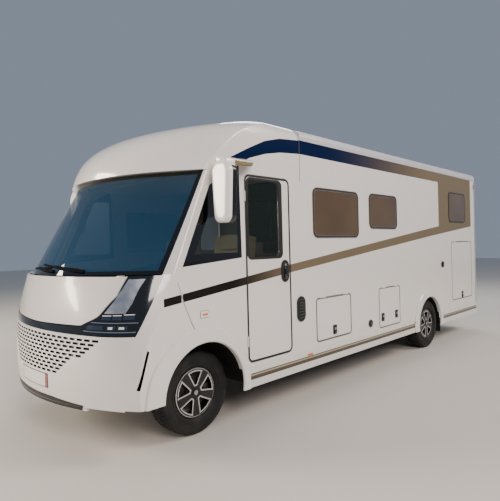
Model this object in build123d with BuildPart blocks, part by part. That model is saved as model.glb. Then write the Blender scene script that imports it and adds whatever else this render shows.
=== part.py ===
from build123d import *
from math import cos, radians, sin
import os

# Motorhome with an integrated cab. The front faces -Y, the vehicle's left is +X and Z is up.
# The origin is on the ground under the middle of the whole length. All sizes are in millimetres.

# Overall sizes
front_overhang = 975
wheelbase = 4400
rear_overhang = 2025
body_width = 2300
wall = 32
skin = 24
pillar_wall = 35
glass = 8
pane = 6

length = front_overhang + wheelbase + rear_overhang
half_width = body_width / 2
inner_half = half_width - wall
front_y = -length / 2
rear_y = length / 2
front_axle_y = front_y + front_overhang
rear_axle_y = front_axle_y + wheelbase

# Heights above the ground
hub_height = 360
skirt_bottom = 308
wall_bottom = 500
nose_bottom = 360
fender_bottom = 400
band_bottom = 945
bonnet_bottom = 1012
screen_bottom = 1400
roof_top = 2795
rail_bottom = roof_top - 109
roof_thickness = 35
screen_top = roof_top - 505
lip_bottom = roof_top - 537
cap_seat = roof_top - 395
floor_bottom = 520
floor_top = 580
living_floor = 800

# Gaps between a moving panel and its opening, and between pieces that seat on each other
door_gap = 5
seat = 0.3


def aft(distance):
    # Distances along the cab and the living space are measured behind the front axle
    return front_axle_y + distance


def setback(distance):
    # Distances on the nose are measured behind the foremost point
    return front_y + distance


def from_rear_axle(distance):
    return rear_axle_y + distance


def side_outline(points, x, depth, mode=Mode.ADD):
    # A straight-sided outline in side view as (y, z), cut inwards from the plane at x
    with BuildSketch(Plane.YZ.offset(x)) as outline:
        with BuildLine():
            Polyline(*points, close=True)
        make_face()
    extrude(outline.sketch, amount=-depth, mode=mode)


def side_window(box, radius, x, depth, mode=Mode.ADD, grow=0.0):
    # A rounded rectangle in side view. box is (front, rear, bottom, top) in the part's own y and z
    front, rear, bottom, top = box
    with BuildSketch(Plane.YZ.offset(x)) as outline:
        with Locations(((front + rear) / 2, (bottom + top) / 2)):
            RectangleRounded(rear - front + 2 * grow, top - bottom + 2 * grow, radius + grow)
    extrude(outline.sketch, amount=-depth, mode=mode)


def block(x_range, y_range, z_range, mode=Mode.ADD):
    # A straight block between two limits along each axis
    (x0, x1), (y0, y1), (z0, z1) = x_range, y_range, z_range
    with Locations(((x0 + x1) / 2, (y0 + y1) / 2, (z0 + z1) / 2)):
        Box(x1 - x0, y1 - y0, z1 - z0, mode=mode)


def rod(start, end, radius, mode=Mode.ADD):
    # A round bar between two points
    way = Vector(*end) - Vector(*start)
    with BuildSketch(Plane(origin=start, z_dir=way)) as section:
        Circle(radius)
    extrude(section.sketch, amount=way.length, mode=mode)


def save(builder, name):
    builder.part.label = name
    os.makedirs("parts", exist_ok=True)
    export_step(builder.part, "parts/" + name + ".step")


# Plan sections of the nose, the screen and the roof cap
# centre, quarter and corner are set back from the foremost point. quarter lies at nose_quarter from
# the middle, and corner at the section's own half width, which is narrower than the body's.

nose_quarter = 800
nose_sections = [
    # height, centre, quarter, corner, narrower
    (nose_bottom, 14, 168, 352, 0),
    (600, 0.4, 142, 337, 0),
    (1000, 44, 167, 464, 0),
    (screen_bottom, 90, 277, 674, 0),
]
screen_sections = [
    (screen_bottom, 118, 374, 674, 0),
    (screen_top, 632, 862, 1040, 0),
]
cap_sections = [
    (lip_bottom, 557, 760, 990, 0),
    (roof_top - 345, 627, 852, 1182, 0),
    (roof_top - 175, 802, 1012, 1392, 4),
    (roof_top - 55, 1082, 1272, 1642, 26),
    (roof_top + 25, 1472, 1602, 1902, 120),
]


def plan_outline(section, rear, inset, corner_radius):
    height, centre, quarter, corner, narrower = section
    half = half_width - narrower - inset
    centre_y = setback(centre) + inset
    quarter_y = setback(quarter) + inset
    corner_y = setback(corner) + inset
    with BuildSketch(Plane.XY.offset(height)) as outline:
        with BuildLine():
            front = ThreePointArc((-nose_quarter, quarter_y), (0, centre_y), (nose_quarter, quarter_y))
            left = TangentArc((nose_quarter, quarter_y), (half, corner_y), tangent=front % 1)
            TangentArc((-nose_quarter, quarter_y), (-half, corner_y), tangent=-(front % 0))
            Line(left @ 1, (half, rear))
            Line((half, rear), (-half, rear))
            Line((-half, rear), (-half, corner_y))
        make_face()
        corners = [v for v in outline.vertices() if abs(v.Y - corner_y) < 0.01]
        fillet(corners, radius=corner_radius)
    return outline.sketch


def plan_loft(sections, rear, inset, corner_radius, ruled):
    with BuildPart() as body:
        loft(sections=[plan_outline(s, rear, inset, corner_radius) for s in sections], ruled=ruled)
    return body.part


cap_rear = 1310
nose_rear = aft(60)
nose_outer = plan_loft(nose_sections, nose_rear, 0, 45, False)
with BuildPart() as nose_shell:
    add(nose_outer)
    add(plan_loft(nose_sections, nose_rear, skin, 30, False), mode=Mode.SUBTRACT)

screen_rear = aft(260)
screen_outer = plan_loft(screen_sections, screen_rear, 0, 45, True)
with BuildPart() as pillar_shell:
    add(screen_outer)
    add(plan_loft(screen_sections, screen_rear, pillar_wall, 30, True), mode=Mode.SUBTRACT)

nose_view = Plane.XZ.offset(-screen_rear)
view_depth = screen_rear - front_y + 100

# The air slit beside the front wheel, which follows the bumper's end
air_slit = [(setback(317), 560), (setback(338), 554), (setback(424), 828), (setback(405), 842)]

# The line where bumper and lamps end and the fender begins, and the line behind the screen pillar
# and down to the wheel arch, where the fender and the pillar end and the side wall begins
corner_line = [(setback(235), nose_bottom - 100), (setback(435), band_bottom), (setback(348), band_bottom),
               (setback(598), screen_bottom + 1)]
seam_foot = (aft(-50), 810)
pillar_foot = (aft(-223), 1449)
pillar_head = (aft(200), cap_seat)
arch_centre = (front_axle_y, hub_height + 25)
front_arch = 425
rear_arch = 385


def ahead_of_corner(mode):
    side_outline(corner_line + [(front_y - 200, corner_line[-1][1]), (front_y - 200, corner_line[0][1])],
                 half_width + 50, body_width + 100, mode)


def behind_seam(mode):
    low = (seam_foot[0] + 200, nose_bottom - 100)
    side_outline([(seam_foot[0], low[1]), seam_foot, pillar_foot, pillar_head,
                  (screen_rear + 500, cap_seat), (screen_rear + 500, low[1])],
                 half_width + 50, body_width + 100, mode)


def wheel_arch(centre_y, radius, mode=Mode.SUBTRACT, depth=body_width + 100):
    with BuildSketch(Plane.YZ.offset(half_width + 50)) as outline:
        with Locations((centre_y, arch_centre[1])):
            Circle(radius)
    extrude(outline.sketch, amount=-depth, mode=mode)


# Bonnet: a flap over the engine with hinge lugs near its upper corners

bonnet_half_top = 945
bonnet_gap = 8
bonnet_lug_x = 875
bonnet_lug_front = setback(332)
bonnet_lug = 24
bonnet_axis = (setback(385), screen_bottom - 15)
lug_radius = 13
pin_radius = 6

with BuildSketch() as bonnet_outline:
    with BuildLine():
        Polyline((0, bonnet_bottom - 4), (650, bonnet_bottom + 8), (815, bonnet_bottom + 80),
                 (922, screen_bottom - 150), (bonnet_half_top, screen_bottom - 8), (0, screen_bottom - 8))
        mirror(about=Plane.YZ)
    make_face()
    fillet([v for v in bonnet_outline.vertices() if abs(v.Y - bonnet_bottom - 80) < 1], radius=120)

with BuildPart() as bonnet:
    add(nose_shell.part)
    with BuildSketch(nose_view):
        add(bonnet_outline.sketch)
    extrude(amount=view_depth, mode=Mode.INTERSECT)
    for side in (-1, 1):
        lug_plane = Plane.YZ.offset(side * bonnet_lug_x - bonnet_lug / 2)
        with BuildSketch(lug_plane):
            with BuildLine():
                Polyline((bonnet_lug_front, bonnet_axis[1] - lug_radius),
                         (bonnet_lug_front, bonnet_axis[1] + lug_radius),
                         (bonnet_axis[0], bonnet_axis[1] + lug_radius),
                         (bonnet_axis[0], bonnet_axis[1] - lug_radius),
                         close=True)
            make_face()
            with Locations(bonnet_axis):
                Circle(lug_radius)
                Circle(pin_radius + seat, mode=Mode.SUBTRACT)
        extrude(amount=bonnet_lug)
save(bonnet, "bonnet")

# Headlamps and the dark band between them

lamp_inner = 650
lamp_depth = 80

with BuildSketch() as lamp_outline:
    with Locations(((half_width + 50 + lamp_inner) / 2, (band_bottom + screen_bottom - 6) / 2)):
        Rectangle(half_width + 50 - lamp_inner, screen_bottom - 6 - band_bottom)
    offset(bonnet_outline.sketch, amount=bonnet_gap, mode=Mode.SUBTRACT)

with BuildPart() as headlamps:
    add(nose_outer)
    add(plan_loft(nose_sections, nose_rear, lamp_depth, 15, False), mode=Mode.SUBTRACT)
    ahead_of_corner(Mode.INTERSECT)
    with BuildSketch(nose_view):
        add(lamp_outline.sketch)
        mirror(lamp_outline.sketch, about=Plane.YZ)
    extrude(amount=view_depth, mode=Mode.INTERSECT)
save(headlamps, "headlamps")

with BuildPart() as front_band:
    add(nose_shell.part)
    with BuildSketch(nose_view):
        with Locations((0, (band_bottom + bonnet_bottom + 20) / 2)):
            Rectangle(2 * lamp_inner, bonnet_bottom + 20 - band_bottom)
        offset(bonnet_outline.sketch, amount=bonnet_gap, mode=Mode.SUBTRACT)
    extrude(amount=view_depth, mode=Mode.INTERSECT)
save(front_band, "front_band")

# Bumper with the tapering grille set in it

grille_top = band_bottom - 14
grille_bottom = 606
grille_half_top = 965
grille_half_bottom = 410
slot_width = 60
slot_height = 18
slot_pitch = 82
slot_rows = 10
slot_rise = 31

with BuildSketch() as grille_outline:
    with BuildLine():
        Polyline((-grille_half_top, grille_top), (grille_half_top, grille_top),
                 (grille_half_bottom, grille_bottom), (-grille_half_bottom, grille_bottom), close=True)
    make_face()
    fillet(grille_outline.vertices(), radius=20)

# the bumper's lip is lowest in the middle, and the corners beside it stand higher
lip_half = 700
corner_rise = 28

with BuildPart() as front_bumper:
    add(nose_shell.part)
    ahead_of_corner(Mode.INTERSECT)
    with BuildSketch(nose_view):
        with Locations((0, (nose_bottom + band_bottom) / 2)):
            Rectangle(body_width + 100, band_bottom - nose_bottom)
        with Locations((-half_width, nose_bottom), (half_width, nose_bottom)):
            Rectangle(2 * (half_width - lip_half), 2 * corner_rise, mode=Mode.SUBTRACT)
        add(grille_outline.sketch, mode=Mode.SUBTRACT)
    extrude(amount=view_depth, mode=Mode.INTERSECT)
    side_outline(air_slit, half_width + 50, body_width + 100, Mode.SUBTRACT)
save(front_bumper, "front_bumper")

with BuildPart() as grille:
    add(nose_shell.part)
    with BuildSketch(nose_view):
        offset(grille_outline.sketch, amount=-seat)
        for row in range(slot_rows):
            z = grille_top - 20 - row * slot_rise
            half = grille_half_top - 60 - (grille_half_top - grille_half_bottom) * (grille_top - z) / (
                grille_top - grille_bottom)
            shift = slot_pitch / 2 * (row % 2)
            count = int((half - shift) // slot_pitch)
            spots = [(shift + k * slot_pitch, z) for k in range(-count - row % 2, count + 1)]
            with Locations(*spots):
                Rectangle(slot_width, slot_height, mode=Mode.SUBTRACT)
    extrude(amount=view_depth, mode=Mode.INTERSECT)
save(grille, "grille")

# Front fenders, the screen pillars with the roof cap, and the screen itself

with BuildPart() as front_fenders:
    add(nose_shell.part)
    ahead_of_corner(Mode.SUBTRACT)
    behind_seam(Mode.SUBTRACT)
    wheel_arch(front_axle_y, front_arch)
    block((-half_width - 50, half_width + 50), (front_y - 50, screen_rear), (nose_bottom - 50, fender_bottom),
          Mode.SUBTRACT)
    side_outline(air_slit, half_width + 50, body_width + 100, Mode.SUBTRACT)
save(front_fenders, "front_fenders")

screen_half_bottom = 1083
screen_half_top = 1128

with BuildSketch() as screen_outline:
    with BuildLine():
        Polyline((-screen_half_bottom, screen_bottom - 10), (screen_half_bottom, screen_bottom - 10),
                 (screen_half_top, screen_top + 10), (-screen_half_top, screen_top + 10), close=True)
    make_face()

with BuildPart() as windscreen:
    add(screen_outer)
    add(plan_loft(screen_sections, screen_rear, glass, 40, True), mode=Mode.SUBTRACT)
    with BuildSketch(nose_view):
        offset(screen_outline.sketch, amount=-seat)
    extrude(amount=view_depth, mode=Mode.INTERSECT)
save(windscreen, "windscreen")

with BuildPart() as roof_cap:
    add(plan_loft(cap_sections, aft(cap_rear), 0, 60, False))
    add(plan_loft([(lip_bottom + 62, 557, 760, 990, 0)] + cap_sections[1:4] + [(roof_top - 10, 1372, 1502, 1802, 90)],
                  aft(cap_rear) + 50, pillar_wall, 40, False), mode=Mode.SUBTRACT)
    add(screen_outer, mode=Mode.SUBTRACT)
    with BuildSketch(Plane.XY.offset(screen_top - 40)):
        add(plan_outline((0, 632, 862, 1040, 0), aft(cap_rear) + 50, 60, 20))
    extrude(amount=110, mode=Mode.SUBTRACT)
    behind_seam_top = [pillar_foot, pillar_head, (aft(cap_rear) + 60, cap_seat), (aft(cap_rear) + 60, 1449)]
    side_outline(behind_seam_top, half_width + 50, body_width + 100, Mode.SUBTRACT)
save(roof_cap, "roof_cap")

with BuildPart() as screen_pillars:
    add(pillar_shell.part)
    with BuildSketch(nose_view):
        add(screen_outline.sketch)
    extrude(amount=view_depth, mode=Mode.SUBTRACT)
    behind_seam(Mode.SUBTRACT)
save(screen_pillars, "screen_pillars")


# Hinges of the side panels: short knuckles on an axis just outside the panel's edge, in turn on the
# wall and on the panel. The fixed ones and the moving ones clear each other on the same axis.

hinge_out = 4
knuckle_radius = 8
knuckle_length = 46
knuckle_gap = 0.4


def knuckle_spans(low, high, moving):
    # Two hinges between low and high, each of one fixed and one moving knuckle
    spans = []
    for middle in (low, high):
        if moving:
            spans.append((middle + knuckle_gap / 2, middle + knuckle_length))
        else:
            spans.append((middle - knuckle_length, middle - knuckle_gap / 2))
    return spans


def hinge_knuckles(point, low, high, axis, moving, cut=False):
    # point is the axis in the plane across it: (x, y) for an upright hinge, (x, z) for a level one
    radius = knuckle_radius + (0.6 if cut else 0)
    grow = 1.0 if cut else 0
    for start, end in knuckle_spans(low, high, moving):
        if axis == "Z":
            ends = (point[0], point[1], start - grow), (point[0], point[1], end + grow)
        else:
            ends = (point[0], start - grow, point[1]), (point[0], end + grow, point[1])
        rod(*ends, radius, Mode.SUBTRACT if cut else Mode.ADD)


hinge_x = half_width + hinge_out

# Openings in the side walls, as (front, rear, bottom, top). What lies ahead of the garage is
# measured behind the front axle, and the rest from the rear axle.


def cab_box(front, rear, bottom, top):
    return aft(front), aft(rear), bottom, top


def rear_box(front, rear, bottom, top):
    return from_rear_axle(front), from_rear_axle(rear), bottom, top


driver_door_box = cab_box(495, 1127, 535, 2262)
driver_glass_box = cab_box(528, 990, 1495, 2225)
entry_door_box = cab_box(1720, 2340, 535, 2300)
entry_glass_box = cab_box(1830, 2200, 1560, 2060)
locker_box = cab_box(1538, 2222, 553, 1025)
service_box = cab_box(2878, 3448, 512, 1024)
garage_box = rear_box(890, 1790, 625, 1597)
window_boxes = {
    "left": [cab_box(1529, 2407, 1691, 2206), cab_box(2690, 3385, 1800, 2215), rear_box(810, 1490, 1935, 2400)],
    "right": [cab_box(620, 1420, 1560, 2080), cab_box(2640, 3335, 1700, 2150), rear_box(810, 1490, 1935, 2400)],
}
cab_window = [(aft(-223), 1449), (aft(445), 1504), (aft(431), 2336), (aft(83), 2133)]
cab_opening = [(aft(-323), 1441), (aft(445), 1504), (aft(431), 2336), (aft(-17), 2075)]

corner = 60
small_corner = 40
door_thick = 40
wall_rear = rear_y - 50
rail_round = 70
wall_top = roof_top - rail_round - 5


def panel_opening(box, radius):
    side_window(box, radius, half_width + 1, wall + 20, Mode.SUBTRACT, door_gap)


def grown(box, amount):
    front, rear, bottom, top = box
    return front - amount, rear + amount, bottom - amount, top + amount


def side_wall_shape(side):
    # A side wall at +X, later mirrored for the right. It ends at the seam behind the screen pillar
    with BuildPart() as shape:
        side_outline([(seam_foot[0], wall_bottom), seam_foot, pillar_foot, pillar_head, (aft(cap_rear), cap_seat),
                      (aft(cap_rear), wall_top), (wall_rear, wall_top), (wall_rear, wall_bottom)],
                     half_width, wall)
        wheel_arch(front_axle_y, front_arch)
        wheel_arch(rear_axle_y, rear_arch)
        side_outline(cab_opening, half_width + 1, wall + 20, Mode.SUBTRACT)
        for box in window_boxes[side]:
            side_window(box, corner, half_width + 1, wall + 20, Mode.SUBTRACT)
        panel_opening(garage_box, small_corner)
        level_hinge(garage_box, False)
        if side == "left":
            panel_opening(driver_door_box, corner)
            upright_hinge(driver_door_box, False)
            for box in (locker_box, service_box):
                panel_opening(box, small_corner)
                level_hinge(box, False)
        else:
            panel_opening(entry_door_box, corner)
            upright_hinge(entry_door_box, False)
    return shape.part


def upright_hinge(box, moving):
    front, rear, bottom, top = box
    point = (hinge_x, front - door_gap / 2)
    low, high = bottom + 200, top - 200
    hinge_knuckles(point, low, high, "Z", not moving, cut=True)
    hinge_knuckles(point, low, high, "Z", moving)


def level_hinge(box, moving):
    front, rear, bottom, top = box
    point = (hinge_x, top + door_gap / 2)
    low, high = front + 120, rear - 120
    hinge_knuckles(point, low, high, "Y", not moving, cut=True)
    hinge_knuckles(point, low, high, "Y", moving)


with BuildPart() as side_wall_left:
    add(side_wall_shape("left"))
save(side_wall_left, "side_wall_left")

with BuildPart() as side_wall_right:
    mirror(side_wall_shape("right"), about=Plane.YZ)
save(side_wall_right, "side_wall_right")

# Doors and lids, each as thick as its whole leaf

with BuildPart() as driver_door:
    side_window(driver_door_box, corner, half_width, door_thick)
    side_window(driver_glass_box, corner, half_width + 1, door_thick + 2, Mode.SUBTRACT)
    upright_hinge(driver_door_box, True)
save(driver_door, "driver_door")

with BuildPart() as driver_door_glass:
    side_window(driver_glass_box, corner, half_width - 2, pane, grow=-seat)
save(driver_door_glass, "driver_door_glass")

with BuildPart() as entry_door_shape:
    side_window(entry_door_box, corner, half_width, door_thick)
    side_window(entry_glass_box, corner, half_width + 1, door_thick + 2, Mode.SUBTRACT)
    upright_hinge(entry_door_box, True)
with BuildPart() as entry_door:
    mirror(entry_door_shape.part, about=Plane.YZ)
save(entry_door, "entry_door")

with BuildPart() as entry_glass_shape:
    side_window(entry_glass_box, corner, half_width - 2, pane, grow=-seat)
with BuildPart() as entry_door_glass:
    mirror(entry_glass_shape.part, about=Plane.YZ)
save(entry_door_glass, "entry_door_glass")


def lid(box):
    with BuildPart() as leaf:
        side_window(box, small_corner, half_width, wall)
        level_hinge(box, True)
    return leaf


locker_lid = lid(locker_box)
save(locker_lid, "locker_lid")
service_lid = lid(service_box)
save(service_lid, "service_lid")
garage_door_left = lid(garage_box)
save(garage_door_left, "garage_door_left")
with BuildPart() as garage_door_right:
    mirror(garage_door_left.part, about=Plane.YZ)
save(garage_door_right, "garage_door_right")

# Window panes. The living space has acrylic panes that stand a little proud of the wall in their
# frames, and the cab has flat glass behind the screen pillars.

acrylic_proud = 8
acrylic_lap = 14
cab_glass_thick = 6


def acrylic_panes(side_name):
    with BuildPart() as panes:
        for box in window_boxes[side_name]:
            side_window(box, corner, half_width + acrylic_proud, acrylic_proud + wall - 6, grow=-seat)
            side_window(box, corner, half_width + acrylic_proud, acrylic_proud, grow=acrylic_lap)
    return panes.part


with BuildPart() as cab_glass:
    with BuildSketch(Plane.YZ.offset(half_width - 1)):
        with BuildLine():
            Polyline(*cab_window, close=True)
        make_face()
        offset(amount=-seat, mode=Mode.REPLACE)
    extrude(amount=-cab_glass_thick)
    mirror(about=Plane.YZ)

with BuildPart() as window_panes:
    add(acrylic_panes("left"))
    mirror(acrylic_panes("right"), about=Plane.YZ)
    add(cab_glass.part)
save(window_panes, "window_panes")


# Roof panel with two hatch openings, the roof rails, and the rear wall

rail_stand = 8
rail_inner = half_width - 95
hatch_boxes = {
    # front, rear, half width
    "roof_lid_front": (aft(1750), aft(2450), 400),
    "roof_lid_rear": (from_rear_axle(900), from_rear_axle(1400), 250),
}
hatch_frame = 14
roof_front = aft(cap_rear)
roof_pin = 4
roof_knuckle = 30
roof_lug = 14


def roof_hinge(front):
    # Where a roof lid's hinge axis runs, ahead of its opening: y, z
    return front - 42, roof_top + 28

with BuildPart() as roof:
    block((-rail_inner, rail_inner), (roof_front, wall_rear), (roof_top - roof_thickness, roof_top))
    for front, rear, half in hatch_boxes.values():
        block((-half - hatch_frame, half + hatch_frame), (front - hatch_frame, rear + hatch_frame),
              (roof_top, roof_top + hatch_frame))
        block((-half, half), (front, rear), (roof_top - roof_thickness - 1, roof_top + hatch_frame + 1),
              Mode.SUBTRACT)
        hinge_y, hinge_z = roof_hinge(front)
        for side in (-1, 1):
            x = side * (half - 99)
            block(sorted((x, x + side * roof_lug)), (hinge_y - 9, hinge_y + 9), (roof_top, hinge_z + 6))
            rod((x, hinge_y, hinge_z), (x - side * (roof_knuckle + 2), hinge_y, hinge_z), roof_pin)
save(roof, "roof")

outer = half_width + rail_stand

with BuildPart() as roof_rails:
    with BuildSketch(Plane.XZ.offset(-roof_front)):
        with BuildLine():
            Polyline((outer, roof_top - rail_round), (outer, rail_bottom), (half_width, rail_bottom),
                     (half_width, wall_top), (inner_half, wall_top), (rail_inner, roof_top - roof_thickness),
                     (rail_inner, roof_top), (outer - rail_round, roof_top))
            RadiusArc((outer - rail_round, roof_top), (outer, roof_top - rail_round), rail_round)
        make_face()
    extrude(amount=-(wall_rear - roof_front))
    mirror(about=Plane.YZ)
save(roof_rails, "roof_rails")

rear_skin_y = rear_y - 15
rear_corner = 30

with BuildPart() as rear_wall:
    with BuildSketch(Plane.XZ.offset(-rear_skin_y)):
        with BuildLine():
            Polyline((-outer, roof_top - rail_round), (-outer, wall_bottom), (outer, wall_bottom),
                     (outer, roof_top - rail_round))
            RadiusArc((outer - rail_round, roof_top), (outer, roof_top - rail_round), rail_round)
            RadiusArc((-outer, roof_top - rail_round), (-outer + rail_round, roof_top), rail_round)
            Line((-outer + rail_round, roof_top), (outer - rail_round, roof_top))
        make_face()
    extrude(amount=rear_skin_y - wall_rear)
    fillet(rear_wall.faces().sort_by(Axis.Y)[-1].edges().sort_by(Axis.Z)[1:], radius=rear_corner)
save(rear_wall, "rear_wall")

# Skirts below the side walls, the rear bumper and the wheel arch flares

skirt_thick = 34
skirt_proud = 6
bumper_depth = 130
bumper_turn = 45
bumper_front = rear_y - bumper_depth
front_flare = 555
front_flare_tail = 75
rear_flare = 500
rear_flare_shift = -20
rear_flare_tail = 70

with BuildPart() as skirts:
    spans = [(front_axle_y + front_arch + front_flare_tail + seat, rear_axle_y + rear_flare_shift - rear_flare - seat),
             (rear_axle_y + rear_arch + rear_flare_tail + seat, bumper_front - seat)]
    for start, end in spans:
        with BuildSketch(Plane.XZ.offset(-start)):
            with BuildLine():
                Polyline((inner_half, wall_bottom), (half_width + skirt_proud, wall_bottom),
                         (half_width + skirt_proud, skirt_bottom + 110), (half_width + 2, skirt_bottom),
                         (half_width - skirt_thick, skirt_bottom), (inner_half, skirt_bottom + 30), close=True)
            make_face()
        extrude(amount=-(end - start))
    mirror(about=Plane.YZ)
save(skirts, "skirts")

with BuildPart() as rear_bumper:
    with BuildSketch(Plane.XY.offset(skirt_bottom)):
        with BuildLine():
            far = half_width + skirt_proud
            Polyline((-far, bumper_front), (-far, rear_y - bumper_turn), (-far + 90, rear_y), (far - 90, rear_y),
                     (far, rear_y - bumper_turn), (far, bumper_front), close=True)
        make_face()
    extrude(amount=wall_bottom - skirt_bottom)
    fillet(rear_bumper.edges().filter_by(Axis.Z).group_by(Axis.Y)[1:], radius=18)
save(rear_bumper, "rear_bumper")

flare_stand = 20
flare_edge = 9
flares = [
    # axle, shift of the outer circle, its radius, opening radius, width behind the opening, forward foot
    (front_axle_y, -45, front_flare, front_arch, front_flare_tail, fender_bottom),
    (rear_axle_y, rear_flare_shift, rear_flare, rear_arch, rear_flare_tail, skirt_bottom),
]

with BuildPart() as arch_flares:
    for axle_y, shift, outer_radius, inner_radius, tail, foot in flares:
        with BuildSketch(Plane.YZ.offset(half_width)):
            with Locations((axle_y + shift, arch_centre[1])):
                Circle(outer_radius)
            with Locations((axle_y, arch_centre[1])):
                Circle(inner_radius, mode=Mode.SUBTRACT)
            with Locations((axle_y, (skirt_bottom - 500) / 2)):
                Rectangle(2000, skirt_bottom + 500, mode=Mode.SUBTRACT)
            with Locations((axle_y + inner_radius + tail + 500, 600)):
                Rectangle(1000, 1200, mode=Mode.SUBTRACT)
            with Locations((axle_y - 500, foot / 2)):
                Rectangle(1000, foot, mode=Mode.SUBTRACT)
        extrude(amount=flare_stand)
    rims = arch_flares.faces().filter_by(Axis.X).group_by(Axis.X)[-1]
    chamfer(rims.edges().filter_by(GeomType.CIRCLE), length=flare_edge)
    mirror(about=Plane.YZ)
save(arch_flares, "arch_flares")

# Wheel housings, and the floor that seats round them

housing_wall = 6
front_housing = 470
rear_housing = 430
front_housing_inner = 570
rear_housing_inner = 824
housings = [(front_axle_y, front_housing, front_housing_inner), (rear_axle_y, rear_housing, rear_housing_inner)]
# how far the slot for the axle runs forward
axle_slots = [220, 280]


def housing_solid(axle_y, radius, inner_x, shrink, outer_x):
    with BuildSketch(Plane.YZ.offset(inner_x + shrink)) as outline:
        with Locations((axle_y, hub_height)):
            Circle(radius - shrink)
        with Locations((axle_y, hub_height - 1000)):
            Rectangle(3000, 2000, mode=Mode.SUBTRACT)
    extrude(outline.sketch, amount=outer_x - inner_x - shrink)


with BuildPart() as housing_hollows:
    for (axle_y, radius, inner_x), forward in zip(housings, axle_slots):
        housing_solid(axle_y, radius, inner_x, housing_wall, half_width)
        block((inner_x - 10, inner_x + 20), (axle_y - forward, axle_y + 130), (hub_height - 1, hub_height + 190))
    mirror(about=Plane.YZ)

with BuildPart() as wheel_housings:
    for axle_y, radius, inner_x in housings:
        housing_solid(axle_y, radius, inner_x, 0, inner_half - seat)
    mirror(about=Plane.YZ)
    add(housing_hollows.part, mode=Mode.SUBTRACT)
save(wheel_housings, "wheel_housings")

floor_half = inner_half - seat
fitting_half = inner_half - door_thick + wall - door_gap - 1
floor_front = aft(-270)
living_front = 1250
riser = 30

with BuildPart() as floor:
    block((-floor_half, floor_half), (floor_front, wall_rear - seat), (floor_bottom, floor_top))
    block((-floor_half, floor_half), (aft(living_front), from_rear_axle(550)), (living_floor - 40, living_floor))
    for y in (aft(living_front), from_rear_axle(550) - riser):
        block((-floor_half, floor_half), (y, y + riser), (floor_top, living_floor - 40))
    for side, leaf_boxes in ((1, (driver_door_box, locker_box, service_box)), (-1, (entry_door_box,))):
        for front, rear, bottom, top in leaf_boxes:
            block(sorted((side * (half_width - door_thick - door_gap - 1), side * half_width)),
                  (front - 2 * door_gap, rear + 2 * door_gap), (floor_bottom - 1, living_floor + 1), Mode.SUBTRACT)
    for axle_y, radius, inner_x in housings:
        for side in (-1, 1):
            edge = side * (inner_x - seat)
            with BuildSketch(Plane.YZ.offset(edge)):
                with Locations((axle_y, hub_height)):
                    Circle(radius + seat)
            extrude(amount=side * 700, mode=Mode.SUBTRACT)
save(floor, "floor")

# Bulkhead between engine and cab, with the bonnet's hinge brackets and pins

bulkhead_y = (aft(-300), aft(-270))
bracket = 16
bracket_height = 24
shelf_bottom = screen_bottom - 21
bracket_top = shelf_bottom - 8

with BuildPart() as bulkhead:
    bulkhead_step = hub_height + front_housing + 12
    block((28 - inner_half, inner_half - 28), bulkhead_y, (bulkhead_step, shelf_bottom - seat))
    block((6 - front_housing_inner, front_housing_inner - 6), bulkhead_y, (floor_bottom, bulkhead_step))
    for side in (-1, 1):
        near = side * (bonnet_lug_x + bonnet_lug / 2 + 2)
        far = near + side * bracket
        side_outline([(bonnet_axis[0] - 12, bonnet_axis[1] - 12), (bonnet_axis[0] - 12, bonnet_axis[1] + 12),
                      (bonnet_axis[0] + 12, bonnet_axis[1] + 12), (bonnet_axis[0] + 60, bracket_top),
                      (bulkhead_y[0], bracket_top), (bulkhead_y[0], bracket_top - 2 * bracket_height),
                      (bonnet_axis[0] + 50, bracket_top - bracket_height)], max(near, far), bracket)
        rod((far, *bonnet_axis), (side * (bonnet_lug_x - bonnet_lug / 2), *bonnet_axis), pin_radius)
save(bulkhead, "bulkhead")

# Engine with its gearbox as one plain block, and the radiator behind the grille

with BuildPart() as engine:
    block((-380, 380), (aft(-690), aft(-320)), (floor_bottom - 30 + seat, 1150))
    fillet(engine.edges().filter_by(Axis.X), radius=40)
save(engine, "engine")

with BuildPart() as radiator:
    block((-400, 400), (aft(-780), aft(-715)), (430, 900))
    for x in (-390, 390):
        block((x - 10, x + 10), (aft(-715), aft(-690)), (560, 620))
save(radiator, "radiator")

# Chassis: two channel rails that drop behind the cab, and cross members

rail_x = 465
chassis_rail_width = 70
web = 10
chassis_rear = bumper_front - seat
cross_members = [aft(-640), aft(150), aft(1180), aft(2100), aft(3300), from_rear_axle(480), from_rear_axle(1250)]

with BuildPart() as chassis_frame:
    with BuildSketch(Plane.YZ.offset(rail_x - chassis_rail_width / 2)) as rail_side:
        with BuildLine():
            Polyline((setback(265), floor_bottom - seat), (chassis_rear, floor_bottom - seat),
                     (chassis_rear, 400), (from_rear_axle(300), 360), (aft(1000), 360), (aft(700), 420),
                     (setback(265), 420), close=True)
        make_face()
    extrude(amount=chassis_rail_width)
    with BuildSketch(Plane.YZ.offset(rail_x - chassis_rail_width / 2)):
        offset(rail_side.sketch_local, amount=-web)
    extrude(amount=chassis_rail_width - web, mode=Mode.SUBTRACT)
    mirror(about=Plane.YZ)
    for y in cross_members:
        block((-rail_x - 30, rail_x + 30), (y, y + 60), (floor_bottom - 90, floor_bottom - 30))
save(chassis_frame, "chassis_frame")

# Front axle: cross member, lower arms and struts. The knuckle's pivot pins stand between the two.

front_track = 1810
rear_track = 2000
pivot_x = 830
arm_thick = 25
lower_arm_top = 225
upper_arm_bottom = 505
strut_x = 712
strut_radius = 28
ball_radius = 20

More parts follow.
